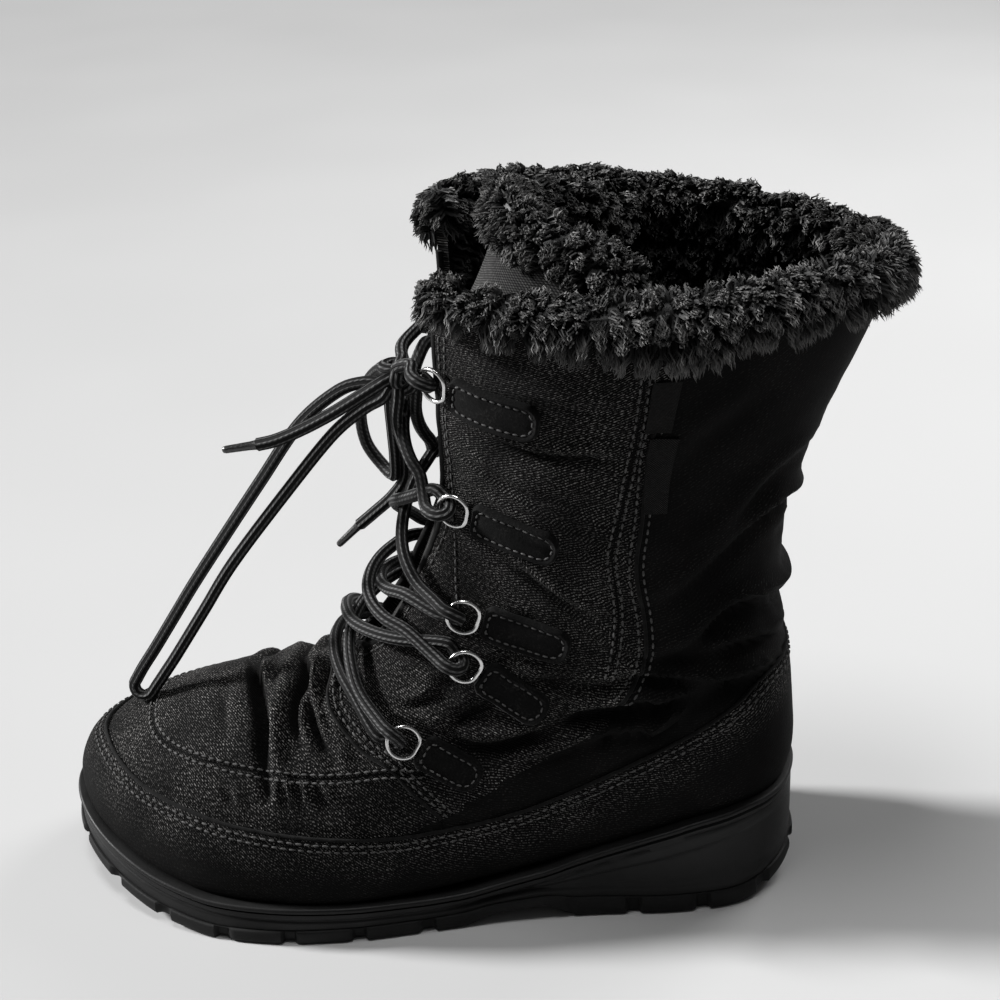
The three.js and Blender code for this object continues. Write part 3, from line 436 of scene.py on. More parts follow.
def creases() -> list[Fold]:
    """Return the creases: lines on the last, each with a depth, a width and a ridge.

    Some of the lines are measured places, and the rest are given.
    """
    f = Fold
    vamp = [
        f(Line(((4.55, 192), (4.6, 184), (4.72, 172), (4.82, 160), (4.9, 148), (4.92, 138),
                (5.0, 127))), 3.0, 2.7, 1.7),
        f(Line(((5.0, 186), (5.02, 164), (5.05, 153))), 0.9, 2.2, 0.7),
        f(Line(((5.4, 186), (5.5, 172), (5.42, 158), (5.4, 148), (5.52, 138))), 2.1, 2.2, 1.4),
        f(Line(((5.62, 178), (5.62, 160), (5.72, 146), (5.85, 138), (6.1, 128))), 1.9, 2.0, 1.3),
        f(Line(((5.8, 178), (6.0, 166), (5.9, 153), (6.02, 142), (6.15, 133))), 1.0, 1.8, 0.9),
        f(Line(((4.2, 172), (4.28, 158), (4.35, 146))), 0.6, 2.6, 0.5),
        f(Line(((4.98, 125), (5.02, 117))), 1.0, 1.6, 0.8),
        f(Line(((5.2, 126), (5.26, 118))), 0.8, 1.6, 0.7),
        f(Line(((5.42, 124), (5.52, 116))), 0.8, 1.7, 0.7),
        f(Line(((5.75, 121), (5.9, 113))), 0.7, 1.8, 0.6),
        f(Line(((4.4, 124), (4.5, 116))), 0.5, 1.8, 0.4),
        f(Line(((4.62, 184), (4.78, 198), (4.92, 212), (5.0, 226), (5.1, 238))), 1.3, 2.6, 0.5),
        f(Line(((5.44, 182), (5.5, 196), (5.42, 210), (5.55, 224))), 1.0, 2.2, 0.4),
        f(Line(((5.8, 184), (5.88, 200), (6.02, 214), (6.15, 228))), 0.9, 2.0, 0.4),
        f(Line(((5.1, 232), (5.18, 243))), 0.9, 1.7, 0.8),
        f(Line(((5.4, 234), (5.5, 245))), 0.8, 1.7, 0.7),
    ]
    ankle = [
        f(Line(((7.3, 128), (8.0, 118), (8.6, 106), (9.2, 101), (9.9, 100), (10.7, 97),
                (11.7, 88), (12.4, 74), (13.0, 50), (13.2, 20))), 2.2, 3.2, 1.6, 1),
        f(Line(((8.7, 97), (9.6, 94.5), (10.7, 92), (11.9, 81), (12.7, 61), (13.1, 38))),
          1.2, 2.4, 1.1, 1),
        f(Line(((8.3, 116), (9.0, 113), (9.8, 111), (10.6, 107), (11.2, 102))), 1.4, 2.6, 1.2),
        f(Line(((10.4, 106), (11.2, 99), (11.9, 92), (12.4, 81), (12.8, 63), (13.2, 40))),
          1.5, 2.6, 1.3),
        f(Line(((8.5, 127), (9.1, 121), (9.8, 119), (10.5, 117))), 1.2, 2.2, 1.0),
        f(Line(((9.3, 131), (9.9, 126), (10.7, 123), (11.3, 117))), 0.9, 2.2, 0.8),
        f(Line(((7.9, 124), (8.0, 116), (8.2, 108))), 0.8, 2.0, 0.7),
        f(Line(((7.5, 134), (7.9, 128), (8.5, 124))), 0.9, 1.9, 0.8),
    ]
    rear = [
        f(Line(((12.3, 90), (12.7, 82), (13.3, 68), (14.0, 50), (14.2, 24), (14.2, 0),
                (14.0, -30))), 2.0, 3.6, 1.6),
        f(Line(((13.4, 84), (13.9, 72), (14.7, 56), (15.4, 36), (15.5, 10), (15.2, -20))),
          1.4, 3.6, 1.3),
        f(Line(((14.6, 66), (15.2, 52), (16.0, 38), (16.3, 14))), 0.9, 4.0, 0.9),
        f(Line(((12.8, 78), (13.4, 56), (13.7, 30), (13.7, 4))), 1.3, 2.6, 1.2),
        f(Line(((12.9, 66), (13.2, 44), (13.4, 20))), 1.0, 2.4, 0.8),
        f(Line(((15.6, 78), (16.5, 70), (17.3, 58))), 0.7, 5.0, 0.6),
    ]
    quilt = [
        f(Line(((15.1, 137), (15.25, 116), (15.5, 104), (15.7, 97), (15.8, 91))), 1.4, 2.4, 1.2),
        f(Line(((13.1, 128), (13.3, 107), (13.6, 99), (13.9, 94.5), (14.15, 91))), 1.4, 2.4, 1.2),
        f(Line(((16.4, 130), (16.5, 112), (16.65, 102), (16.8, 93))), 0.6, 2.6, 0.5),
        f(Line(((11.9, 128), (12.1, 114), (12.3, 104), (12.5, 98))), 0.9, 2.4, 0.8),
        f(Line(((14.1, 132), (14.3, 116), (14.55, 104), (14.8, 95))), 0.4, 3.0, 0.5),
    ]
    vamp = [f(x.line, x.depth * 1.25, x.width * 1.15, x.ridge * 1.2) for x in vamp]
    return vamp + [
        f(x.line, x.depth, x.width, x.ridge, x.ridge_side, True) for x in ankle + rear + quilt
    ]


@dataclass(frozen=True)
class Seams:
    """The nearest seam lines, as signed distances in millimetres."""

    lines: tuple[tuple[str, Line], ...] = (
        ("rand", RAND_EDGE), ("plug", PLUG_SEAM), ("quarter", QUARTER_EDGE),
        ("band", BAND_FRONT), ("rear", BAND_BACK))

    def distances(self, u: Array, degrees: Array, points: Array) -> dict[str, Array]:
        """Return how far each point is from each seam.

        Args:
            u: Sections of the points.
            degrees: Their angles.
            points: The points.
        Returns:
            Signed distances by seam; above, inside or behind the seam is positive.
        """
        found = {}
        low = np.minimum(degrees % 360, 360 - degrees % 360)
        for name, line in self.lines:
            at = line.places(0.7)
            core = np.vstack([LAST.points(at[:, 0], at[:, 1]),
                              LAST.points(at[:, 0], 360 - at[:, 1])])
            gap = np.empty(len(points))
            for k in range(0, len(points), 2000):
                part = points[k:k + 2000]
                gap[k:k + 2000] = np.sqrt(
                    ((part[:, None] - core[None]) ** 2).sum(-1).min(1))
            stops = spline(line.stops, 14)
            order = np.argsort(stops[:, 0])
            edge = np.interp(u, stops[order, 0], stops[order, 1])
            if name == "rand":
                sign = np.where(low > rand_angle(u), 1.0, -1.0)
            elif name == "plug":
                inside = (low > edge) & (u > 3.0) & (u < 7.9)
                sign = np.where(inside, 1.0, -1.0)
            elif name == "quarter":
                turn = np.interp(low, stops[::-1, 1], stops[::-1, 0])
                sign = np.where(u > turn, 1.0, -1.0)
            else:
                sign = np.where(low < edge, 1.0, -1.0)
            found[name] = gap * sign
        return found


class Relief:
    """How far the fabric stands off the last, sampled once on a fine net."""

    CREASES = 2.35        # how strongly the creases show
    LOWEST, HIGHEST = -6.5, 4.2
    RAND_STEP = 1.0       # how far the rand stands proud
    RAND_CALM = 0.72      # share of the relief that the rand takes away
    # shift of the noise, height, distance over which it changes
    UNEVEN = ((0, 0.45, 17), (90, 0.28, 7.5), (-70, 0.16, 4))

    def __init__(self) -> None:
        """Work out the creases, the rand's step and the fabric's unevenness."""
        self.u = np.concatenate([np.linspace(0, 3, 60, endpoint=False),
                                 np.linspace(3, 20.9, 330)])
        self.a = ANGLES
        u, a = np.meshgrid(self.u, self.a, indexing="ij")
        flat_u, flat_a = u.ravel(), a.ravel()
        points = LAST.points(flat_u, flat_a)
        total = self.CREASES * sum(fold.relief(points) for fold in creases())
        total = total * self.calm_tabs(points)
        for shift, height, size in self.UNEVEN:
            total = total + height * NOISE(points + shift, size)
        seams = Seams().distances(flat_u, flat_a, points)
        total = total - 0.5 * bell(seams["plug"], 1.0) + 0.35 * bell(seams["plug"] - 3, 2.2)
        total = total - 0.35 * bell(seams["quarter"], 0.9) * (seams["plug"] > -40)
        total = total + 0.5 * smoothstep(-seams["rear"], -1.0, 1.0) * (flat_u > 11.3)
        calm = smoothstep(flat_u, 0.6, 2.6) * (1 - smoothstep(flat_u, 16.8, 18.2))
        on_rand = smoothstep(-seams["rand"], -0.8, 1.2)
        total = total * calm * (1 - self.RAND_CALM * on_rand)
        total = total * (0.25 + 0.75 * smoothstep(np.abs(seams["rand"]), 1.0, 7.0))
        total = np.clip(total, self.LOWEST, self.HIGHEST) + self.RAND_STEP * on_rand
        total = total - 0.7 * bell(seams["rand"] - 1.6, 1.0)
        sunk = points[:, 2] < 8
        self.values = np.where(sunk, 0.0, total).reshape(u.shape)

    @staticmethod
    def calm_tabs(points: Array) -> Array:
        """Return the share of the creases that is left round the leather tabs."""
        share = np.ones(len(points))
        place = np.hstack([np.abs(points[:, :1]), points[:, 1:]])
        for start, end in np.array(RINGS, float):
            run = end - start
            at = np.clip((place - start) @ run / (run @ run), 0, 1)
            gap = np.linalg.norm(place - start - at[:, None] * run, axis=1)
            share *= 1 - 0.75 * bell(np.maximum(gap - 7, 0), 3.5)
        return share

    def __call__(self, u: Array, degrees: Array) -> Array:
        """Return the height off the last at the given places."""
        u, degrees = np.broadcast_arrays(np.asarray(u, float), np.asarray(degrees, float) % 360)
        x = np.interp(u, self.u, np.arange(len(self.u)))
        y = np.interp(degrees, self.a, np.arange(len(self.a)))
        i = np.minimum(x.astype(int), len(self.u) - 2)
        j = np.minimum(y.astype(int), len(self.a) - 2)
        s, t = x - i, y - j
        v = self.values
        return ((v[i, j] * (1 - s) + v[i + 1, j] * s) * (1 - t)
                + (v[i, j + 1] * (1 - s) + v[i + 1, j + 1] * s) * t)


RELIEF = Relief()


# ---------------------------------------------------------------- mesh tools

def deselect() -> None:
    """Leave no object selected."""
    bpy.ops.object.select_all(action="DESELECT")


def lone(thing: bpy.types.Object) -> None:
    """Select one object and make it active."""
    deselect()
    thing.select_set(True)
    bpy.context.view_layer.objects.active = thing


def apply_modifier(thing: bpy.types.Object, kind: str, **settings: object) -> None:
    """Add a modifier, set it and apply it."""
    lone(thing)
    made = thing.modifiers.new(kind.title(), kind)
    for key, value in settings.items():
        setattr(made, key, value)
    bpy.ops.object.modifier_apply(modifier=made.name)


def edit(thing: bpy.types.Object, merge: float = 0.0, outward: bool = False) -> None:
    """Merge doubles and turn the faces outwards, in edit mode."""
    lone(thing)
    bpy.ops.object.mode_set(mode="EDIT")
    bpy.ops.mesh.select_all(action="SELECT")
    if merge:
        bpy.ops.mesh.remove_doubles(threshold=merge)
    if outward:
        bpy.ops.mesh.normals_make_consistent(inside=False)
    bpy.ops.object.mode_set(mode="OBJECT")


def smooth(thing: bpy.types.Object, degrees: float = 50) -> None:
    """Shade a piece smooth, apart from edges sharper than the angle."""
    lone(thing)
    bpy.ops.object.shade_smooth_by_angle(angle=radians(degrees))


def keep_values(mesh: bpy.types.Mesh, key: str, values: Array) -> None:
    """Keep one value for each point of a mesh."""
    made = mesh.attributes.new(key, "FLOAT", "POINT")
    made.data.foreach_set("value", np.asarray(values).astype(np.float32).ravel())


def net(name: str, points: Array, uv: Optional[Array] = None, merge: float = 0.00002,
        keep: Optional[Array] = None, caps: bool = False, second: Optional[Array] = None,
        fields: Optional[dict[str, Array]] = None, outward: bool = True) -> bpy.types.Object:
    """Make a piece from a grid that is laid over rows of points.

    Args:
        name: The piece's name.
        points: Rows, columns and places in millimetres.
        uv: Rows, columns and pattern places in millimetres.
        merge: Distance at which doubles are merged, in metres.
        keep: Rows and columns of faces that stay.
        caps: Whether the first and last row are closed with a face.
        second: Rows and columns of faces that take the second material.
        fields: Values for each point, kept as attributes.
        outward: Whether the faces are turned outwards afterwards.
    Returns:
        The piece.
    """
    rows, columns = points.shape[:2]
    deselect()
    bpy.ops.mesh.primitive_grid_add(x_subdivisions=columns - 1, y_subdivisions=rows - 1)
    thing = bpy.context.object
    thing.name = thing.data.name = name
    mesh = thing.data
    mesh.vertices.foreach_set("co", (points.reshape(-1, 3) * MM).ravel())
    for key, values in (fields or {}).items():
        keep_values(mesh, key, values)
    if uv is not None:
        corner = np.empty(len(mesh.loops), int)
        mesh.loops.foreach_get("vertex_index", corner)
        mesh.uv_layers[0].data.foreach_set("uv", (uv.reshape(-1, 2) * MM)[corner].ravel())
    mesh.update()
    if second is not None:
        mesh.polygons.foreach_set("material_index", second.ravel().astype(np.int32))
    if keep is not None:
        lone(thing)
        bpy.ops.object.mode_set(mode="EDIT")
        bpy.ops.mesh.select_all(action="DESELECT")
        bpy.ops.object.mode_set(mode="OBJECT")
        mesh.polygons.foreach_set("select", ~keep.ravel())
        bpy.ops.object.mode_set(mode="EDIT")
        bpy.ops.mesh.select_mode(type="FACE")
        bpy.ops.mesh.delete(type="FACE")
        bpy.ops.object.mode_set(mode="OBJECT")
    if caps:
        close_ends(thing, points)
    edit(thing, merge, outward)
    smooth(thing)
    return thing


def close_ends(thing: bpy.types.Object, points: Array) -> None:
    """Close the first and last row of a tube with a fan of faces."""
    mesh = thing.data
    rows, columns = points.shape[:2]
    mesh.vertices.add(2)
    first = rows * columns
    for k, row in enumerate((0, rows - 1)):
        mesh.vertices[first + k].co = points[row, :-1].mean(0) * MM
    polygons = len(mesh.polygons)
    loops = len(mesh.loops)
    count = columns - 1
    mesh.polygons.add(2 * count)
    mesh.loops.add(6 * count)
    at = 0
    for k, row in enumerate((0, rows - 1)):
        for column in range(count):
            corners = (first + k, row * columns + column + 1, row * columns + column)
            mesh.polygons[polygons + k * count + column].loop_start = loops + at
            for corner in corners if k == 0 else corners[::-1]:
                mesh.loops[loops + at].vertex_index = corner
                at += 1
    mesh.update(calc_edges=True)
    mesh.validate()


def frames(path: Array, closed: bool = False) -> tuple[Array, Array]:
    """Carry a cross-section's axes along a path without twist.

    Args:
        path: The path's points.
        closed: Whether it returns to its start.
    Returns:
        The two axes at each point.
    """
    if closed:
        tangent = unit(np.roll(path, -1, 0) - np.roll(path, 1, 0))
    else:
        tangent = unit(np.gradient(path, axis=0))
    start = np.cross(tangent[0], (0.0, 0.0, 1.0))
    if np.linalg.norm(start) < 0.1:
        start = np.cross(tangent[0], (1.0, 0.0, 0.0))
    axes = [unit(start)]
    for t in tangent[1:]:
        a = axes[-1] - t * (axes[-1] @ t)
        axes.append(unit(a))
    first = np.array(axes)
    if closed:
        last = first[-1] - tangent[0] * (first[-1] @ tangent[0])
        last = unit(last)
        twist = np.arctan2(np.cross(last, first[0]) @ tangent[0], last @ first[0])
        turn = np.linspace(0, twist, len(path))[:, None]
        first = first * np.cos(turn) + np.cross(tangent, first) * np.sin(turn)
    return first, np.cross(tangent, first)


def tube(name: str, path: Array, radius: object, sides: int = 14, closed: bool = False,
         ribs: float = 0.0, rib_count: int = 8) -> bpy.types.Object:
    """Sweep a round section along a path.

    Args:
        name: The piece's name.
        path: The path's points in millimetres.
        radius: One radius, or one for each point.
        sides: Points round the section.
        closed: Whether the path returns to its start.
        ribs: Height of lengthwise ribs.
        rib_count: Number of ribs.
    Returns:
        The tube, with the length and the way round as its pattern places.
    """
    first, second = frames(path, closed)
    turn = np.linspace(0, 2 * pi, sides + 1)
    size = np.broadcast_to(np.asarray(radius, float), len(path))[:, None]
    size = size + ribs * (np.cos(rib_count * turn)[None] - 1) / 2
    ring = (path[:, None] + first[:, None] * (size * np.cos(turn))[..., None]
            + second[:, None] * (size * np.sin(turn))[..., None])
    run = run_length(path)
    if closed:
        ring = np.concatenate([ring, ring[:1]])
        run = np.r_[run, run[-1] + np.linalg.norm(path[0] - path[-1])]
    uv = np.stack(np.broadcast_arrays(run[:, None], turn[None] * float(np.mean(radius))), -1)
    return net(name, ring, uv, caps=not closed)


@dataclass(frozen=True)
class Template:
    """A small shape that is copied many times."""

    points: Array
    faces: tuple[tuple[int, ...], ...]

    def scatter(self, name: str, places: Array, x: Array, y: Array, z: Array
                ) -> bpy.types.Object:
        """Join one copy for each place into a mesh.

        Args:
            name: The piece's name.
            places: Where the copies go, in millimetres.
            x: Their first axes, with their length as a scale.
            y: Their second axes.
            z: Their third axes.
        Returns:
            The piece.
        """
        t = self.points
        points = (places[:, None] + t[None, :, 0:1] * x[:, None] + t[None, :, 1:2] * y[:, None]
                  + t[None, :, 2:3] * z[:, None]).reshape(-1, 3)
        return joined(name, points, self.faces, len(places), len(t))


def joined(name: str, points: Array, faces: Sequence[Sequence[int]], count: int, each: int,
           fields: Optional[dict[str, Array]] = None,
           own: Optional[dict[str, Array]] = None) -> bpy.types.Object:
    """Make one mesh of many copies that share their faces' layout.

    Args:
        name: The piece's name.
        points: All the points in millimetres, copy by copy.
        faces: The corners of each face of one copy.
        count: Number of copies.
        each: Points in a copy.
        fields: Values for each copy.
        own: Values for each point of a copy.
    Returns:
        The piece.
    """
    sizes = np.array([len(f) for f in faces])
    corners = np.concatenate([np.array(f) for f in faces])
    shift = (np.arange(count) * each)[:, None]
    mesh = bpy.data.meshes.new(name)
    mesh.vertices.add(count * each)
    mesh.vertices.foreach_set("co", (points * MM).astype(np.float32).ravel())
    mesh.loops.add(count * len(corners))
    mesh.loops.foreach_set("vertex_index", (corners[None] + shift).ravel())
    mesh.polygons.add(count * len(sizes))
    all_sizes = np.tile(sizes, count)
    mesh.polygons.foreach_set("loop_start", np.r_[0, np.cumsum(all_sizes)[:-1]])
    mesh.update(calc_edges=True)
    for key, values in (fields or {}).items():
        keep_values(mesh, key, np.repeat(values, each))
    for key, values in (own or {}).items():
        keep_values(mesh, key, np.tile(values, count))
    thing = bpy.data.objects.new(name, mesh)
    bpy.context.scene.collection.objects.link(thing)
    smooth(thing, 80)
    return thing


# ---------------------------------------------------------------- finishes

class Slot(Enum):
    """The record's finishes."""

    TREAD = "tread_rubber"
    SHELL = "shell_rubber"
    INSOLE = "insole_fabric"
    FABRIC = "upper_fabric"
    PILE = "pile"
    STEEL = "ring_steel"
    TAB = "tab_leather"
    LACE = "lace_cord"
    TIP = "aglet_film"


class Nodes:
    """A material's node tree while it is put together."""

    def __init__(self, name: str, **sockets: object) -> None:
        """Start a material and set its shader's constant sockets."""
        self.material = bpy.data.materials.new(name)
        self.material.use_nodes = True
        self.tree = self.material.node_tree
        self.shader = self.tree.nodes["Principled BSDF"]
        for key, value in sockets.items():
            self.shader.inputs[key.replace("_", " ")].default_value = value

    def add(self, kind: str, inputs: dict, out: object = 0, **settings: object) -> object:
        """Add a node.

        Args:
            kind: Its type.
            inputs: Values or sockets for its inputs.
            out: The wanted output.
            settings: Its settings.
        Returns:
            The output socket.
        """
        node = self.tree.nodes.new("ShaderNode" + kind)
        for key, value in settings.items():
            setattr(node, key, value)
        for key, value in inputs.items():
            if isinstance(value, bpy.types.NodeSocket):
                self.tree.links.new(value, node.inputs[key])
            else:
                node.inputs[key].default_value = value
        return node.outputs[out]

    def place(self, kind: str = "Object", scale: Sequence[float] = (1, 1, 1),
              turn: float = 0.0) -> object:
        """Return pattern places, scaled and turned about Z."""
        source = self.add("TexCoord", {}, kind)
        return self.add("Mapping", {"Vector": source, "Scale": scale,
                                    "Rotation": (0, 0, turn)})

    def math(self, operation: str, a: object, b: object = 0.0, clamp: bool = False) -> object:
        """Return a sum of two values."""
        return self.add("Math", {0: a, 1: b}, operation=operation, use_clamp=clamp)

    def noise(self, at: object, size: float, detail: float = 3, rough: float = 0.55) -> object:
        """Return noise with features of that size in metres."""
        return self.add("TexNoise", {"Vector": at, "Scale": 1 / size, "Detail": detail,
                                     "Roughness": rough})

    def sine(self, value: object, period: float, shift: object = 0.0) -> object:
        """Return a sine of the value."""
        turn = self.math("MULTIPLY", value, 2 * pi / period)
        if shift:
            turn = self.math("ADD", turn, shift)
        return self.math("SINE", turn)

    def remap(self, value: object, low: float, high: float, to_low: float = 0,
              to_high: float = 1) -> object:
        """Return the value moved from one range to another, smoothly."""
        return self.add("MapRange", {"Value": value, "From Min": low, "From Max": high,
                                     "To Min": to_low, "To Max": to_high},
                        interpolation_type="SMOOTHSTEP")

    def mix(self, share: object, a: object, b: object) -> object:
        """Return a blend of two colours."""
        node = self.tree.nodes.new("ShaderNodeMix")
        node.data_type = "RGBA"
        for socket, value in zip((node.inputs[0], node.inputs[6], node.inputs[7]), (share, a, b)):
            if isinstance(value, bpy.types.NodeSocket):
                self.tree.links.new(value, socket)
            else:
                socket.default_value = value
        return node.outputs[2]

    def field(self, name: str) -> object:
        """Return a value kept on the mesh."""
        return self.add("Attribute", {}, "Fac", attribute_name=name)

    def bump(self, height: object, distance: float, strength: float = 1.0,
             under: Optional[object] = None) -> object:
        """Return a normal that is bumped by a height, in metres."""
        inputs = {"Height": height, "Distance": distance, "Strength": strength}
        if under is not None:
            inputs["Normal"] = under
        return self.add("Bump", inputs)

    def finish(self, colour: object = None, roughness: object = None,
               normal: object = None) -> bpy.types.Material:
        """Join the colour, roughness and normal to the shader."""
        for key, value in (("Base Color", colour), ("Roughness", roughness), ("Normal", normal)):
            if value is not None:
                self.tree.links.new(value, self.shader.inputs[key])
        return self.material


def grey(value: float, warm: float = 0.0) -> tuple[float, float, float, float]:
    """Return a grey, a little warm or cool."""
    return (value * (1 + warm), value, value * (1 - warm), 1.0)


@dataclass(frozen=True)
class Twill:
    """Brushed twill: fine ribs, pale flecks, dark seam grooves and a plain rear panel; painted
    shade darkens the creases and painted highlight brightens their ridges.
    """

    name: str = "black twill"
    thread: float = 0.0012
    dark: float = 0.002
    fleck: float = 0.3
    seams: bool = True

    def material(self) -> bpy.types.Material:
        """Return the material."""
        n = Nodes(self.name, Specular_IOR_Level=0.06)
        at = n.place("UV")
        split = n.tree.nodes.new("ShaderNodeSeparateXYZ")
        n.tree.links.new(at, split.inputs[0])
        across, along = split.outputs[0], split.outputs[1]
        wander = n.math("MULTIPLY", n.noise(at, 0.0035, 3), 4.5)
        ribs = n.sine(n.math("ADD", along, n.math("MULTIPLY", across, 0.9)), self.thread, wander)
        cross = n.sine(across, self.thread * 1.7, wander)
        weave = n.math("ADD", n.math("MULTIPLY", ribs, 0.34),
                       n.math("ADD", n.math("MULTIPLY", cross, 0.12), 0.5))
        fleck = n.noise(n.place("UV", (0.6, 1.2, 1)), 0.0008, 2, 0.6)
        cloud = n.noise(n.place(), 0.022, 4)
        bright = n.math("MULTIPLY", n.remap(fleck, 0.45, 0.7),
                        n.remap(weave, 0.4, 0.85))
        bright = n.math("MULTIPLY", bright, n.remap(cloud, 0.3, 0.7, 0.35, 1.0))
        wear = n.remap(cloud, 0.35, 0.75)
        if self.seams:
            rear, rand = n.field("rear"), n.field("rand")
            plain = n.math("MULTIPLY", n.remap(rear, -0.3, 0.5), n.remap(rand, -0.3, 0.3))
            calm = n.math("MULTIPLY", n.remap(plain, 0, 1, 1, 0.07),
                          n.remap(rand, -21, -4, 0.08, 1.0))
            # Painted shade and painted highlight: the fold relief fades the flecks to near black in
            # the creases' troughs and brightens them on their ridges.
            fold = n.field("fold")
            painted_fold_shade_and_highlight = n.math("MULTIPLY", n.remap(fold, -2.2, 0.1, 0.04, 1.0),
                            n.remap(fold, 0.5, 2.6, 1.0, 1.7))
            bright = n.math("MULTIPLY", bright, n.math("MULTIPLY", calm, painted_fold_shade_and_highlight))
        colour = n.mix(bright, n.mix(wear, grey(self.dark), grey(self.dark * 1.7, 0.04)),
                       grey(self.fleck, 0.03))
        height = n.math("ADD", n.math("MULTIPLY", weave, 0.6), n.math("MULTIPLY", fleck, 0.7))
        if self.seams:
            height = n.math("MULTIPLY", height, calm)
        normal = n.bump(height, 0.0007, 1.0)
        if self.seams:
            grooves = 1.0
            for name, width in (("rand", 0.9), ("plug", 0.7), ("quarter", 0.7), ("band", 0.7),
                                ("rear", 0.8)):
                gap = n.math("ABSOLUTE", n.field(name))
                grooves = n.math("MULTIPLY", grooves, n.remap(gap, 0.1, width))
            normal = n.bump(grooves, 0.0009, 0.8, normal)
            colour = n.mix(grooves, grey(0.003), colour)
        rough = n.remap(fleck, 0.3, 0.8, 0.72, 0.92)
        return n.finish(colour, rough, normal)


@dataclass(frozen=True)
class Cloth:
    """A plain woven or felted cloth."""

    name: str
    dark: float
    pale: float
    thread: float
    relief: float
    sheen: float = 0.05
    felted: bool = False

    def material(self) -> bpy.types.Material:
        """Return the material."""
        n = Nodes(self.name, Sheen_Weight=self.sheen, Sheen_Roughness=0.5,
                  Specular_IOR_Level=0.08)
        at = n.place("Object" if self.felted else "UV")
        fibre = n.noise(at, self.thread * 1.6, 5, 0.7)
        cloud = n.noise(n.place(), 0.02, 3)
        if self.felted:
            pattern = n.noise(at, self.thread * 4, 4, 0.65)
        else:
            split = n.tree.nodes.new("ShaderNodeSeparateXYZ")
            n.tree.links.new(at, split.inputs[0])
            pattern = n.math("MULTIPLY", n.sine(split.outputs[0], self.thread),
                             n.sine(split.outputs[1], self.thread))
            pattern = n.math("MULTIPLY", pattern, 0.5)
            pattern = n.math("ADD", pattern, 0.5)
        share = n.math("MULTIPLY", n.remap(pattern, 0.2, 0.9), n.remap(fibre, 0.3, 0.7, 0.3, 1))
        share = n.math("MULTIPLY", share, n.remap(cloud, 0.3, 0.7, 0.6, 1))
        colour = n.mix(share, grey(self.dark), grey(self.pale, 0.02))
        height = n.math("ADD", pattern, n.math("MULTIPLY", fibre, 0.6))
        rough = n.remap(fibre, 0.3, 0.7, 0.8, 0.95)
        return n.finish(colour, rough, n.bump(height, self.relief, 0.8))


@dataclass(frozen=True)
class Rubber:
    """Moulded rubber with a fine grain, dull scuffs and a little dust."""

    name: str
    base: float
    dust: float
    rough: float
    grain: float = 0.0006

    def material(self) -> bpy.types.Material:
        """Return the material."""
        n = Nodes(self.name, Specular_IOR_Level=0.22)
        at = n.place()
        fine = n.noise(at, self.grain, 4, 0.6)
        cloud = n.noise(at, 0.03, 4, 0.6)
        scuff = n.noise(n.place("Object", (1, 0.25, 3)), 0.006, 5, 0.7)
        worn = n.remap(scuff, 0.56, 0.74)
        colour = n.mix(n.math("MULTIPLY", worn, n.remap(cloud, 0.35, 0.7)), grey(self.base),
                       grey(self.dust, 0.05))
        rough = n.math("ADD", n.remap(cloud, 0.3, 0.7, self.rough - 0.08, self.rough + 0.1),
                       n.math("MULTIPLY", worn, 0.12))
        normal = n.bump(fine, 0.00012, 0.7)
        return n.finish(colour, rough, n.bump(scuff, 0.0002, 0.4, normal))


@dataclass(frozen=True)
class Pile:
    """Curly pile: dark at the root as painted shade deep in the pile, charcoal along the strand,
    and paler at the tip as painted highlight.
    """

    name: str = "curly pile"
    # Tones along the strand: the dark root is painted shade, the pale tip painted highlight.
    root: float = 0.001
    middle: float = 0.007
    tip: float = 0.2

    def material(self) -> bpy.types.Material:
        """Return the material."""
        n = Nodes(self.name, Sheen_Weight=0.08, Sheen_Roughness=0.4, Specular_IOR_Level=0.26)
        reach, shade = n.field("reach"), n.field("shade")
        cloud = n.noise(n.place(), 0.012, 3)
        # Painted shade: each strand darkens towards its root, deep in the pile.
        lower = n.mix(n.remap(reach, 0.0, 0.6), grey(self.root), grey(self.middle))
        # Painted highlight: the strands' tips turn pale, varied at random by strand and by a cloud.
        pale = n.math("MULTIPLY", n.remap(reach, 0.4, 1.0), n.remap(shade, 0.1, 1.0, 0.15, 1.0))
        pale = n.math("MULTIPLY", pale, n.remap(cloud, 0.25, 0.75, 0.5, 1.0))
        rough = n.remap(shade, 0, 1, 0.5, 0.75)
        normal = n.bump(n.noise(n.place("Object", (1, 1, 1)), 0.0007, 3), 0.0002, 0.5)
        return n.finish(n.mix(pale, lower, grey(self.tip, 0.02)), rough, normal)


@dataclass(frozen=True)
class Steel:
    """Polished steel wire with hairline scratches."""

    name: str = "polished steel"

    def material(self) -> bpy.types.Material:
        """Return the material."""
        n = Nodes(self.name, Metallic=1.0)
        scratch = n.noise(n.place("Object", (1, 6, 1)), 0.0012, 4, 0.7)
        cloud = n.noise(n.place(), 0.004, 3)
        colour = n.mix(n.remap(cloud, 0.3, 0.7), grey(0.55), grey(0.72, 0.01))
        rough = n.remap(scratch, 0.35, 0.7, 0.14, 0.3)
        return n.finish(colour, rough, n.bump(scratch, 0.00004, 0.5))


@dataclass(frozen=True)
class Nubuck:
    """Brushed leather with a soft nap."""

    name: str = "black nubuck"

    def material(self) -> bpy.types.Material:
        """Return the material."""
        n = Nodes(self.name, Sheen_Weight=0.04, Sheen_Roughness=0.35, Specular_IOR_Level=0.08)
        at = n.place()
        nap = n.noise(at, 0.0009, 5, 0.7)
        cloud = n.noise(at, 0.006, 3)
        colour = n.mix(n.math("MULTIPLY", n.remap(nap, 0.45, 0.75), n.remap(cloud, 0.3, 0.7)),
                       grey(0.003), grey(0.022, 0.03))
        return n.finish(colour, n.remap(nap, 0.3, 0.7, 0.78, 0.95), n.bump(nap, 0.0003, 0.8))


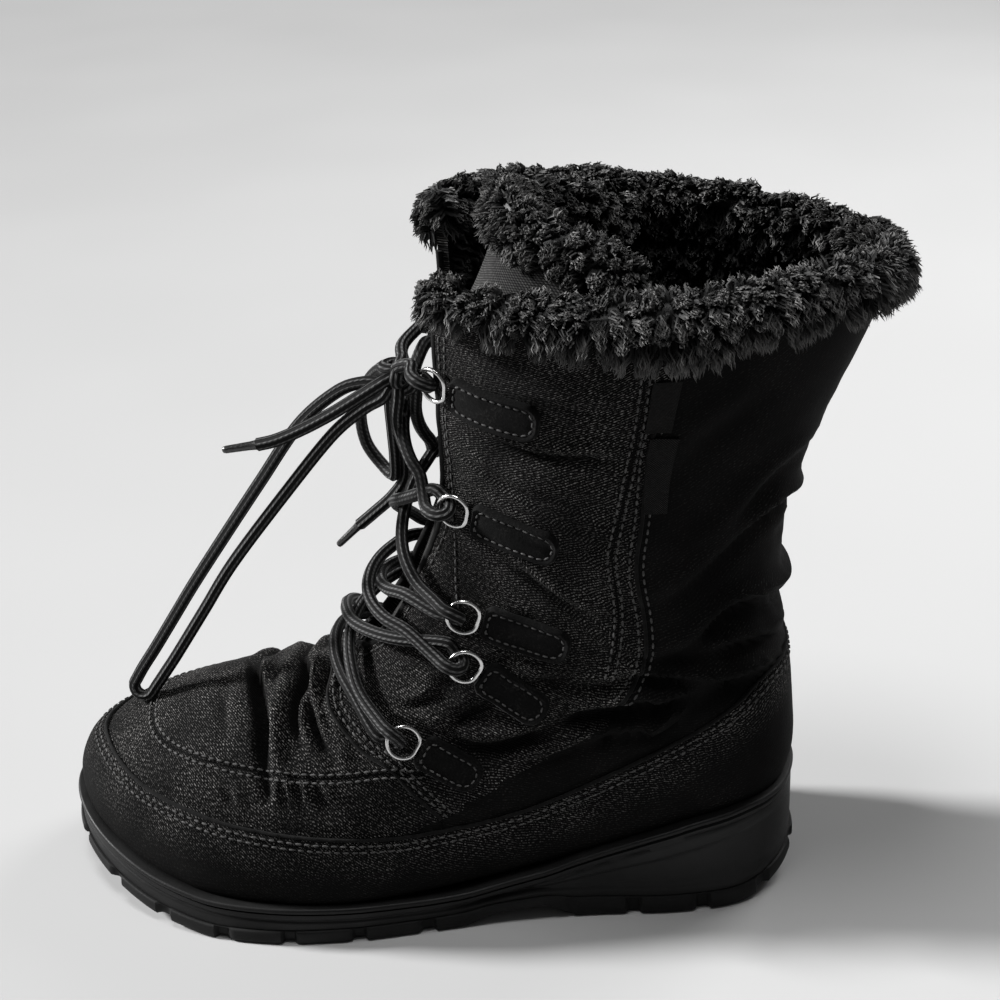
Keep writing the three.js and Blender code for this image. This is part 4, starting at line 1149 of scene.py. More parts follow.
@dataclass(frozen=True)
class Braid:
    """Round braided cord: crossing strands and fine fibres."""

    name: str = "braided cord"
    strand: float = 0.0022
    around: float = 0.0022
    dark: float = 0.0015
    pale: float = 0.13

    def material(self) -> bpy.types.Material:
        """Return the material."""
        n = Nodes(self.name, Sheen_Weight=0.03, Sheen_Roughness=0.4, Specular_IOR_Level=0.14)
        at = n.place("UV")
        split = n.tree.nodes.new("ShaderNodeSeparateXYZ")
        n.tree.links.new(at, split.inputs[0])
        along = n.math("MULTIPLY", split.outputs[0], 1 / self.strand)
        turn = n.math("MULTIPLY", split.outputs[1], 1 / self.around)
        line = n.remap(n.sine(turn, 1.0), -0.1, 0.85)
        knit = n.remap(n.sine(n.math("ADD", along, turn), 1.0), -0.7, 0.5, 0.45, 1.0)
        braid = n.math("MULTIPLY", line, knit)
        fibre = n.noise(n.place("UV", (0.4, 1.6, 1)), 0.0005, 4, 0.7)
        share = n.math("MULTIPLY", braid, n.remap(fibre, 0.3, 0.7, 0.25, 1.0))
        height = n.math("ADD", braid, n.math("MULTIPLY", fibre, 0.4))
        rough = n.remap(fibre, 0.3, 0.7, 0.62, 0.85)
        return n.finish(n.mix(share, grey(self.dark), grey(self.pale)), rough,
                        n.bump(height, 0.00032, 0.9))


@dataclass(frozen=True)
class Film:
    """Shrunk plastic film, glossy, with faint rings."""

    name: str = "tip film"

    def material(self) -> bpy.types.Material:
        """Return the material."""
        n = Nodes(self.name, Coat_Weight=0.4, Coat_Roughness=0.15)
        ring = n.noise(n.place("Object", (3, 0.6, 3)), 0.001, 3)
        colour = n.mix(n.remap(ring, 0.4, 0.7), grey(0.008), grey(0.02))
        return n.finish(colour, n.remap(ring, 0.3, 0.7, 0.2, 0.35), n.bump(ring, 0.00008, 0.6))


@dataclass(frozen=True)
class Finishes:
    """All the boot's materials."""

    twill: bpy.types.Material
    lining: bpy.types.Material
    knit: bpy.types.Material
    piping: bpy.types.Material
    thread: bpy.types.Material
    pile: bpy.types.Material
    fleece: bpy.types.Material
    felt: bpy.types.Material
    shell: bpy.types.Material
    tread: bpy.types.Material
    steel: bpy.types.Material
    nubuck: bpy.types.Material
    braid: bpy.types.Material
    film: bpy.types.Material
    label: bpy.types.Material

    @staticmethod
    def all() -> "Finishes":
        """Make every material once."""
        return Finishes(
            twill=Twill().material(),
            lining=Cloth("fleece lining", 0.0015, 0.006, 0.0012, 0.0014, 0.03, True).material(),
            knit=Cloth("woven tongue cloth", 0.005, 0.09, 0.0013, 0.0003, 0.04).material(),
            piping=Cloth("piping cloth", 0.0035, 0.018, 0.0006, 0.0002, 0.04, True).material(),
            thread=Cloth("sewing thread", 0.035, 0.2, 0.0005, 0.00015, 0.04, True).material(),
            pile=Pile().material(),
            # Painted shade: the shaft's fleece is toned far darker than the collar's pile so the
            # inside of the shaft reads as shaded.
            fleece=Pile("fleece in painted shade", 0.0006, 0.002, 0.012).material(),
            felt=Cloth("insole felt", 0.008, 0.03, 0.0012, 0.0006, 0.05, True).material(),
            shell=Rubber("shell rubber", 0.0032, 0.014, 0.5).material(),
            tread=Rubber("tread rubber", 0.003, 0.016, 0.62, 0.0009).material(),
            steel=Steel().material(),
            nubuck=Nubuck().material(),
            braid=Braid().material(),
            film=Film().material(),
            label=Cloth("blank woven label", 0.002, 0.035, 0.0007, 0.0002, 0.0).material(),
        )


def dress(thing: bpy.types.Object, material: bpy.types.Material, slot: Slot,
          *nodes: str) -> bpy.types.Object:
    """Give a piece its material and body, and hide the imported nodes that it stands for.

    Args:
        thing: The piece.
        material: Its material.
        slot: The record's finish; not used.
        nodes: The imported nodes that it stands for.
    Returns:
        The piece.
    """
    if not thing.data.materials:
        thing.data.materials.append(material)
    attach(thing, BODY)
    if nodes:
        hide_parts(*nodes)
    thing.data.calc_loop_triangles()
    LOG.info("%-18s %7d triangles", thing.name, len(thing.data.loop_triangles))
    return thing


# ---------------------------------------------------------------- lines on the fabric

def on_fabric(places: Array, lift: float = 0.0) -> Array:
    """Return points that stand lift millimetres off the creased fabric."""
    u, a = places[..., 0], places[..., 1]
    return LAST.surface(u, a, RELIEF(u, a) + lift)


def beside(places: Array, shift: float) -> Array:
    """Move a line of places sideways over the fabric.

    Args:
        places: Sections and angles along the line.
        shift: Millimetres to the right of the line's run.
    Returns:
        The moved places, evenly spaced.
    """
    if not shift:
        return places
    points = LAST.points(places[:, 0], places[:, 1])
    side = np.cross(unit(np.gradient(points, axis=0)), LAST.normals(places[:, 0], places[:, 1]))
    moved = points + side * shift
    ahead = (np.diff(moved, axis=0) * np.diff(points, axis=0)).sum(1) > 0
    return LAST.locate(moved[np.r_[True, ahead]])


def swap_side(places: Array) -> Array:
    """Return the places on the other side of the boot."""
    return np.stack([places[:, 0], 360 - places[:, 1]], 1)


def whole(line: Line, spacing: float) -> Array:
    """Return a line that runs on to its mirrored half."""
    outer = line.places(spacing)
    inner = swap_side(outer[::-1])
    return np.vstack([outer, inner[1:]])


@dataclass(frozen=True)
class Stitching:
    """Rows of stitches, modelled once and copied."""

    length: float = 2.3
    gap: float = 1.0
    width: float = 0.85
    height: float = 0.62

    def template(self) -> Template:
        """Return one stitch."""
        deselect()
        bpy.ops.mesh.primitive_uv_sphere_add(segments=6, ring_count=5, radius=0.5)
        made = bpy.context.object
        bpy.ops.object.mode_set(mode="EDIT")
        bpy.ops.mesh.select_all(action="SELECT")
        bpy.ops.transform.rotate(value=pi / 2, orient_axis="Y", center_override=(0, 0, 0))
        bpy.ops.object.mode_set(mode="OBJECT")
        points = np.array([v.co[:] for v in made.data.vertices])
        size = np.array([self.length, self.width, self.height])
        points = np.sign(points) * (2 * np.abs(points)) ** (0.75, 1, 1) * 0.5 * size
        faces = tuple(tuple(f.vertices) for f in made.data.polygons)
        bpy.data.objects.remove(made)
        return Template(points, faces)

    def rows(self, name: str, runs: Sequence[Array]) -> bpy.types.Object:
        """Sew rows of stitches.

        Args:
            name: The piece's name.
            runs: Lines of points on the fabric, each with its outward directions.
        Returns:
            The stitches as one piece.
        """
        pitch = self.length + self.gap
        spots = [even(run, pitch) for run in runs if len(run) > 3]
        place = np.vstack(spots)
        along = np.vstack([unit(np.gradient(s[:, :3], axis=0)) for s in spots])
        out = unit(place[:, 3:])
        side = unit(np.cross(out, along))
        return self.template().scatter(name, place[:, :3] + out * 0.2, along, side, out)


def sewn(places: Array, shift: float) -> Array:
    """Return a row's points and outward directions beside a line."""
    at = beside(places, shift)
    return np.hstack([on_fabric(at, 0.05), LAST.normals(at[:, 0], at[:, 1])])


def throat_angle(u: Array) -> Array:
    """Return the outer angle of the throat's edge in each section."""
    u = np.asarray(u, float)
    half = np.maximum(throat_half(u), 6.0)
    a = np.linspace(100, 180, 161)
    x = LAST.points(np.repeat(u[:, None], len(a), 1), a[None])[..., 0]
    middle = x[:, -1]
    return np.array([np.interp(-(m + h), -row, a) for row, m, h in zip(x, middle, half)])


def throat_edge(hand: int, inset: float = 0.0) -> Array:
    """Return the places along one edge of the throat, from its foot up."""
    u = np.linspace(6.72, 18.6, 150)
    a = throat_angle(u)
    places = np.stack([u, a], 1)
    if inset:
        places = beside(places, inset)
    return places if hand > 0 else swap_side(places)


# ---------------------------------------------------------------- sub-assemblies

@dataclass
class Upper:
    """The fabric shell with its lining, seams, piping and label."""

    finish: Finishes
    rows: int = 256
    columns: int = 84
    slit: int = 6
    piping: float = 0.75
    stitch: Stitching = Stitching()

    # name; height, angle and width in degrees at its top, then at its foot; thickness
    TAGS = (
        ("side_tag", ((198.5, 82.4, 6.4), (169.0, 79.6, 6.2)), 0.9),
        ("side_strip", ((219.0, 86.0, 5.6), (200.5, 84.3, 5.6)), 0.7))

    def build(self) -> None:
        """Make the shell and all that is sewn on it."""
        self.shell()
        self.bindings()
        self.stitches()
        self.label()

    def shell(self) -> None:
        """Make the hollow shell, with creases, and cut the throat and the mouth."""
        fine = np.linspace(0, 20.7, 1600)
        run = sum(run_length(LAST.points(fine, np.full(fine.shape, angle)))
                  for angle in (90.0, 150.0, 180.0))
        rows = np.interp(np.linspace(0, run[-1], self.rows), run, fine)
        rows[np.abs(rows - THROAT_FOOT).argmin()] = THROAT_FOOT
        edge = throat_angle(rows)
        outer = self.spread(rows, edge)
        inner = 360 - outer[:, ::-1]
        slit = np.linspace(0, 1, self.slit)[None, 1:-1]
        middle = edge[:, None] * (1 - slit) + (360 - edge[:, None]) * slit
        a = np.hstack([outer, middle, inner])
        u = np.repeat(rows[:, None], a.shape[1], 1)
        points = LAST.surface(u, a, RELIEF(u, a))
        flat = points.reshape(-1, 3)
        seams = Seams().distances(u.ravel(), a.ravel(), flat)
        # The fold relief, which the twill turns into painted shade in the troughs and painted
        # highlight on the ridges.
        seams["fold"] = RELIEF(u, a).ravel() - smoothstep(-seams["rand"], -0.8, 1.2)
        width = np.linalg.norm(np.diff(points, axis=1), axis=2)
        across = np.hstack([np.zeros((len(rows), 1)), np.cumsum(width, 1)])
        across = across - across[:, self.columns - 1:self.columns] * 0.55
        length = run_length(points[:, 40])
        uv = np.stack([across, np.repeat(length[:, None], a.shape[1], 1)], -1)
        centre = (points[1:, 1:] + points[:-1, :-1]) / 2
        mid_u, mid_a = (u[1:, 1:] + u[:-1, :-1]) / 2, (a[1:, 1:] + a[:-1, :-1]) / 2
        column = np.arange(a.shape[1] - 1)[None]
        in_slit = (column >= self.columns - 1) & (column < self.columns + self.slit - 2)
        keep = ~(in_slit & (mid_u > THROAT_FOOT))
        keep &= centre[..., 2] < FurCollar.level(mid_a % 360, 2) + 2
        keep &= ~((np.minimum(mid_a, 360 - mid_a) < 42) & (mid_u > 1.6) & (mid_u < 11.2))
        thing = net("upper_shell", points, uv, keep=keep, fields=seams)
        thing.data.materials.append(self.finish.twill)
        thing.data.materials.append(self.finish.lining)
        apply_modifier(thing, "SOLIDIFY", thickness=WALL * MM, offset=-1.0,
                       material_offset=1, use_even_offset=False)
        smooth(thing, 60)
        dress(thing, self.finish.twill, Slot.FABRIC, "upper")

    def spread(self, rows: Array, edge: Array) -> Array:
        """Return angles that lie evenly along each section, sparser under the foot."""
        half = ANGLES[:len(ANGLES) // 2 + 1]
        steps = np.arange(len(half))
        out = []
        for u, last in zip(rows, edge):
            end = np.interp(last, half, steps)
            a = np.interp(np.linspace(0, end, 700), steps, half)
            gap = np.linalg.norm(np.diff(LAST.points(np.full(a.shape, u), a), axis=0), axis=1)
            share = 0.3 + 0.7 * max(float(smoothstep(np.array(u), 10.6, 13.0)), 0.0)
            gap = gap * np.where(a[1:] < 40, share, 1.0)
            run = np.r_[0, np.cumsum(gap)]
            out.append(np.interp(np.linspace(0, run[-1], self.columns), run, a))
        return np.stack(out)

    def pipe(self, name: str, places: Array, radius: float, lift: float) -> None:
        """Lay a piping along places."""
        path = even(on_fabric(places, lift), 1.3)
        dress(tube(name, path, radius, 8), self.finish.piping, Slot.FABRIC)

    def bindings(self) -> None:
        """Make the pipings and the throat's bound edges."""
        rand = whole(RAND_EDGE, 1.2)
        self.pipe("rand_piping", rand, self.piping, 0.0)
        for hand, word in ((1, "outer"), (-1, "inner")):
            lines = [("band_piping", BAND_BACK, 0.75), ("quarter_piping", QUARTER_EDGE, 0.7)]
            for name, line, radius in lines:
                line = line if hand > 0 else line.mirrored()
                self.pipe(f"{name}_{word}", line.places(1.2), radius, 0.0)
            edge = throat_edge(hand)
            self.pipe(f"throat_binding_{word}", edge, 1.5, -0.7)

    def stitches(self) -> None:
        """Sew the rows beside the seams."""
        rand = whole(RAND_EDGE, 1.0)
        plug = whole(PLUG_SEAM, 1.0)
        runs = [sewn(rand, -2.0), sewn(rand, -4.4), sewn(plug, -1.5), sewn(plug, 1.5)]
        for hand in (1, -1):
            for line, shifts in ((QUARTER_EDGE, (-2.2, -4.6)), (BAND_FRONT, (-1.4, 1.4)),
                                 (BAND_BACK, (2.4, -2.4)), (FLAP_EDGE, (0.0,))):
                line = line if hand > 0 else line.mirrored()
                runs += [sewn(line.places(1.0), hand * s) for s in shifts]
            edge = throat_edge(1, 4.0)
            if hand < 0:
                edge = swap_side(edge)
            runs.append(sewn(edge, 0.0))
        made = self.stitch.rows("seam_stitches", runs)
        dress(made, self.finish.thread, Slot.FABRIC)

    def label(self) -> None:
        """Sew a bare woven tag and the short strip above it behind the band."""
        for name, (high, low), thick in self.TAGS:
            z = np.linspace(high[0], low[0], 24)[:, None]
            share = np.linspace(0, 1, 24)[:, None]
            middle = high[1] + (low[1] - high[1]) * share
            half = (high[2] + (low[2] - high[2]) * share) / 2
            turn = np.linspace(-1, 1, 12)[None]
            degrees = middle - turn * half * 1.02
            height = np.broadcast_to(z, degrees.shape)
            places = place_on_shaft(degrees, height)
            top = on_fabric(places, thick + 0.3)
            base = on_fabric(places, 0.0)
            ring = np.concatenate([base[:, :1], top, base[:, -1:]], 1)
            ring = np.concatenate([np.concatenate([base[:1, :1], base[:1], base[:1, -1:]], 1),
                                   ring,
                                   np.concatenate([base[-1:, :1], base[-1:], base[-1:, -1:]], 1)])
            steps = np.arange(ring.shape[1])[None] * 0.6 + np.zeros((ring.shape[0], 1))
            lengths = np.arange(ring.shape[0])[:, None] * 1.2 + np.zeros((1, ring.shape[1]))
            thing = net(name, ring, np.stack([steps, lengths], -1))
            dress(thing, self.finish.label, Slot.FABRIC)


def place_on_shaft(degrees: Array, z: Array, out: Array = 0.0) -> Array:
    """Find the places on the shaft at given angles and heights.

    Args:
        degrees: The angles.
        z: The heights, in millimetres.
        out: How far off the form the height is met.
    Returns:
        Sections and angles.
    """
    degrees, z, out = np.broadcast_arrays(degrees, z, out)
    low = np.full(degrees.shape, 10.5)
    high = np.full(degrees.shape, LAST.TOP)
    for _ in range(26):
        middle = (low + high) / 2
        under = LAST.surface(middle, degrees, out)[..., 2] < z
        low, high = np.where(under, middle, low), np.where(under, high, middle)
    return np.stack([(low + high) / 2, degrees], -1)


def amount(count: int) -> int:
    return count


@dataclass(frozen=True)
class Fur:
    """Curly pile strands that stand on a soft base."""

    length: float = 7.4
    width: float = 1.1
    clump: float = 4.0
    curl: float = 2.5

    FACES = ((0, 1, 4, 3), (1, 2, 5, 4), (2, 0, 3, 5), (3, 4, 7, 6), (4, 5, 8, 7),
             (5, 3, 6, 8), (6, 7, 9), (7, 8, 9), (8, 6, 9))

    def grow(self, name: str, base: Array, core: Array, count: int, seed: int, droop: float
             ) -> bpy.types.Object:
        """Grow strands over a base.

        Args:
            name: The piece's name.
            base: Rows and columns of points.
            core: Points that the strands grow away from.
            count: Number of strands.
            seed: Start of the random draws.
            droop: How far the tips hang down, in millimetres.
        Returns:
            The strands as one piece.
        """
        rng = np.random.default_rng(seed)
        a, b, c = base[:-1, :-1], base[1:, :-1], base[:-1, 1:]
        cross = np.cross(c - a, b - a)
        area = np.linalg.norm(cross, axis=-1)
        pick = rng.choice(area.size, count, p=area.ravel() / area.sum())
        i, j = np.unravel_index(pick, area.shape)
        s, t = rng.random((2, count, 1))
        root = a[i, j] + (b - a)[i, j] * s + (c - a)[i, j] * t
        node = unit(np.cross(np.gradient(base, axis=1), np.gradient(base, axis=0)))
        node = node * np.sign((node * (base - core)).sum())
        out = unit(node[i, j] * (1 - s) + node[np.minimum(i + 1, len(base) - 1), j] * s)
        reach = self.length * rng.uniform(0.75, 1.15, (count, 1))
        heads = rng.choice(count, max(8, int(area.sum() / self.clump ** 2)), replace=False)
        sway = unit(rng.normal(size=(len(heads), 3)))
        target = root[heads] + out[heads] * reach[heads] * 0.9 + sway * self.curl
        target[:, 2] -= droop
        nearest = np.empty(count, int)
        for k in range(0, count, 1500):
            gap = ((root[k:k + 1500, None] - root[heads][None]) ** 2).sum(-1)
            nearest[k:k + 1500] = gap.argmin(1)
        tip = root + out * reach + rng.normal(size=(count, 3)) * 0.9
        tip[:, 2] -= droop * 0.7
        tip = tip + (target[nearest] - tip) * 0.5
        swirl = unit(np.cross(out, tip - root + rng.normal(size=(count, 3)) * 0.5))
        waves = self.curl * 0.42 * np.sign(rng.normal(size=(count, 1)))
        mid = [root - out * 1.2,
               root + (tip - root) * 0.42 + out * 0.6 + swirl * waves,
               root + (tip - root) * 0.8 + out * 0.3 - swirl * waves * 0.6, tip]
        first = unit(np.cross(tip - root, out + rng.normal(size=(count, 3)) * 0.7))
        second = unit(np.cross(tip - root, first))
        points = np.empty((count, 10, 3))
        for level, share in enumerate((1.0, 0.8, 0.5)):
            for k in range(3):
                turn = 2 * pi * k / 3 + level * 0.5
                points[:, level * 3 + k] = mid[level] + self.width / 2 * share * (
                    first * cos(turn) + second * sin(turn))
        points[:, 9] = tip
        own = {"reach": np.array([0, 0, 0, 0.4, 0.4, 0.4, 0.8, 0.8, 0.8, 1.0])}
        shade = np.clip(0.6 * rng.random(count) + 0.4 * rng.random(len(heads))[nearest], 0, 1)
        return joined(name, points.reshape(-1, 3), self.FACES, count, 10, {"shade": shade}, own)


def drawn_in(rows: Array, core: Array, inset: float, steps: int) -> Array:
    """Draw a pile's section in towards its core, and run it smooth.

    Args:
        rows: Rows and columns of points.
        core: The core's point in each column.
        inset: How far the points move in, in millimetres.
        steps: Rows of the result for each row.
    Returns:
        The finer rows.
    """
    away = rows - core[None]
    size = np.linalg.norm(away, axis=-1, keepdims=True)
    rows = core[None] + away * np.maximum(size - inset, LEAST_PILE) / size
    return spline(rows.reshape(len(rows), -1), steps).reshape(-1, rows.shape[1], 3)


@dataclass
class FurCollar:
    """The pile cuff that rolls over the boot's mouth, open at the throat."""

    finish: Finishes
    end: float = 0.36
    inset: float = 5.0
    columns: int = 260
    fur: Fur = Fur()

    # angle, foot's height, rim's height, top's height
    ROWS = (
        (0, 234.5, 241, 251.5), (25, 236, 242, 254), (50, 237, 243, 256), (70, 233, 240, 254),
        (88, 227, 237, 251), (105, 231, 238, 249), (125, 234, 240, 248.5),
        (150, 235.5, 241, 249.5), (170, 235.5, 241, 249.5), (190, 245, 254, 269),
        (212, 245, 254, 269), (235, 244, 253, 268), (255, 242, 251, 266.5),
        (270, 238, 247, 262), (288, 235, 244, 259), (300, 233, 241, 255),
        (330, 233, 240, 252), (360, 234.5, 241, 251.5))
    # off the last, column of ROWS it starts at, share of the way to the top, rise
    SECTION = (
        (0.6, 1, 0, 0), (5, 1, 0, 0.5), (8, 1, 0.3, 0), (8.5, 1, 0.62, 0), (4.5, 1, 0.88, 0),
        (-2.5, 1, 1, 0), (-8.5, 2, 0.72, 0), (-10.5, 2, 0.25, 0), (-8.5, 2, 0, -2.5),
        (-5.1, 2, 0, -4))

    @classmethod
    def level(cls, degrees: Array, column: int) -> Array:
        """Return a height of the collar at the angles: 1 foot, 2 rim, 3 top."""
        rows = np.array(cls.ROWS)
        return np.interp(degrees, rows[:, 0], rows[:, column])

    def base(self) -> Array:
        """Return the cuff's soft base, from the outside over the top to the inside."""
        turn = np.linspace(180 + np.degrees(self.end), 540 - np.degrees(self.end), self.columns)
        turn = turn % 360
        rows = []
        for out, foot, share, rise in self.SECTION:
            low, top = self.level(turn, foot), self.level(turn, 3)
            z = low + (top - low) * share + rise
            at = place_on_shaft(turn, z, out)
            rows.append(LAST.surface(at[:, 0], at[:, 1], np.full(len(turn), out)))
        rows = np.stack(rows)
        core = (rows[1] + rows[7]) / 2 * 0.5 + rows[4] * 0.5
        fine = drawn_in(rows, core, self.inset, 5)
        lump = NOISE(fine, 9) * 0.9 + NOISE(fine + 40, 4) * 0.5
        out = unit(fine - core[None])
        return fine + out * lump[..., None]

    def build(self) -> None:
        """Make the base and its strands."""
        base = self.base()
        closed = np.concatenate([base, base[:1]])
        body = net("fur_collar_base", np.swapaxes(closed, 0, 1), caps=True)
        dress(body, self.finish.pile, Slot.PILE, "fur_collar")
        cut = int(len(base) * 0.62)
        core = base.mean(0)
        grow = self.fur.grow
        self.pile(grow("fur_collar_outer", base[:cut], core, amount(12500), 5, 5.0))
        self.pile(grow("fur_collar_inner", base[cut - 2:], core, amount(5800), 6, 2.5))
        for column, word, way in ((0, "inner", 1), (-1, "outer", -1)):
            ring = closed[:, column]
            middle = core[column]
            cap = np.stack([middle + (ring - middle) * share for share in (1.0, 0.66, 0.33, 0.02)])
            behind = core[column + 3 * way]
            self.pile(grow(f"fur_collar_end_{word}", cap, behind, 420, 8 + way, 2.5))
        self.lining()

    def pile(self, thing: bpy.types.Object) -> None:
        """Dress a piece of the pile."""
        dress(thing, self.finish.pile, Slot.PILE)

    def lining(self) -> None:
        """Grow the fleece that lines the top of the shaft."""
        turn = np.linspace(180 + 24, 540 - 24, 200) % 360
        rows = []
        for fall in np.linspace(2, 52, 16):
            at = place_on_shaft(turn, self.level(turn, 2) - fall, -5.2)
            rows.append(LAST.surface(at[:, 0], at[:, 1], np.full(len(turn), -5.2)))
        base = np.stack(rows)
        outside = base + LAST.normals(*np.moveaxis(np.stack([
            place_on_shaft(turn, row[:, 2], -5.2) for row in rows]), -1, 0)) * 4
        made = Fur(6.0, 1.4, 5.0, 2.4).grow("shaft_fleece", base, outside, amount(4500), 12, 2.0)
        # Its darker finish is painted shade inside the shaft.
        dress(made, self.finish.fleece, Slot.PILE)


@dataclass
class Tongue:
    """The padded tongue with its woven face and its fur top."""

    finish: Finishes
    start: float = 6.0
    widens: float = 14.5
    top: float = 20.0
    fall: float = 1.4
    angles: tuple[float, float, float] = (0.4, 0.66, 1.72)
    inset: float = 3.4
    fur: Fur = Fur(length=6.4)

    # off the last, sections below the edge, rise
    SECTION = (
        (-2.6, -0.38, 0), (-1.2, -0.28, 0), (-0.6, 0, 0), (-3, 0, 7), (-8, 0, 11),
        (-14, 0, 7), (-17.5, -0.3, 0), (-17, -0.8, 0), (-11.8, -1, 0))

    def point(self, u: Array, side: Array, depth: float) -> Array:
        """Return points of the tongue."""
        low, middle, high = self.angles
        share = np.clip((u - self.start) / (self.widens - self.start), 0, 1)
        rest = np.clip((u - self.widens) / (self.top - self.widens), 0, 1.05)
        half = low + (middle - low) * share + (high - middle) * rest
        lean = smoothstep(u, 15.5, 20.4)
        points = LAST.surface(u, 180 + np.degrees(half * side), depth - 10 * lean)
        points[..., 1] += 13 * lean
        return points

    def build(self) -> None:
        """Make the padded sheet and the fur at its top."""
        side = np.linspace(-1, 1, 49)[None]
        share = np.linspace(0, 1, 110)[:, None]
        u = self.start + (self.top - 0.34 - self.fall * side ** 2 - self.start) * share
        side = np.broadcast_to(side, u.shape)
        front = self.point(u, side, -4.8)
        back = self.point(u, side, -9.8)
        puff = 0.5 * NOISE(front, 11) - 0.5 * bell(np.abs(side) - 0.62, 0.05)
        front = front + unit(front - back) * (puff - 0.4)[..., None]
        ring = np.concatenate([front, back[:, ::-1], front[:, :1]], 1)
        run = np.linspace(0, 300, len(share))[:, None] * np.ones((1, ring.shape[1]))
        wide = np.arange(ring.shape[1])[None] * 1.5 * np.ones((len(share), 1))
        columns = ring.shape[1] - 1
        second = np.broadcast_to(np.arange(columns) >= side.shape[1], (len(share) - 1, columns))
        body = net("tongue_pad", ring, np.stack([wide, run], -1), caps=True, second=second)
        body.data.materials.append(self.finish.knit)
        body.data.materials.append(self.finish.lining)
        dress(body, self.finish.knit, Slot.FABRIC, "tongue")
        base = self.fur_base()
        closed = np.concatenate([base, base[:1]])
        dress(net("tongue_fur_base", np.swapaxes(closed, 0, 1), caps=True), self.finish.pile,
              Slot.PILE, "tongue_fur")
        made = self.fur.grow("tongue_fur_pile", base, base.mean(0), amount(9500), 7, 2.0)
        dress(made, self.finish.pile, Slot.PILE)

    def fur_base(self) -> Array:
        """Return the soft base of the tongue's fur."""
        side = np.linspace(-1, 1, 120)
        edge = self.top - self.fall * side ** 2
        rows = []
        for depth, lower, rise in self.SECTION:
            row = self.point(edge + lower, side, depth)
            row[:, 2] += rise
            rows.append(row)
        rows = np.stack(rows)
        core = rows[[3, 5]].mean(0) * 0.5 + rows[[0, 7]].mean(0) * 0.5
        fine = drawn_in(rows, core, self.inset, 4)
        lump = NOISE(fine, 8) * 0.8
        return fine + unit(fine - core[None]) * lump[..., None]


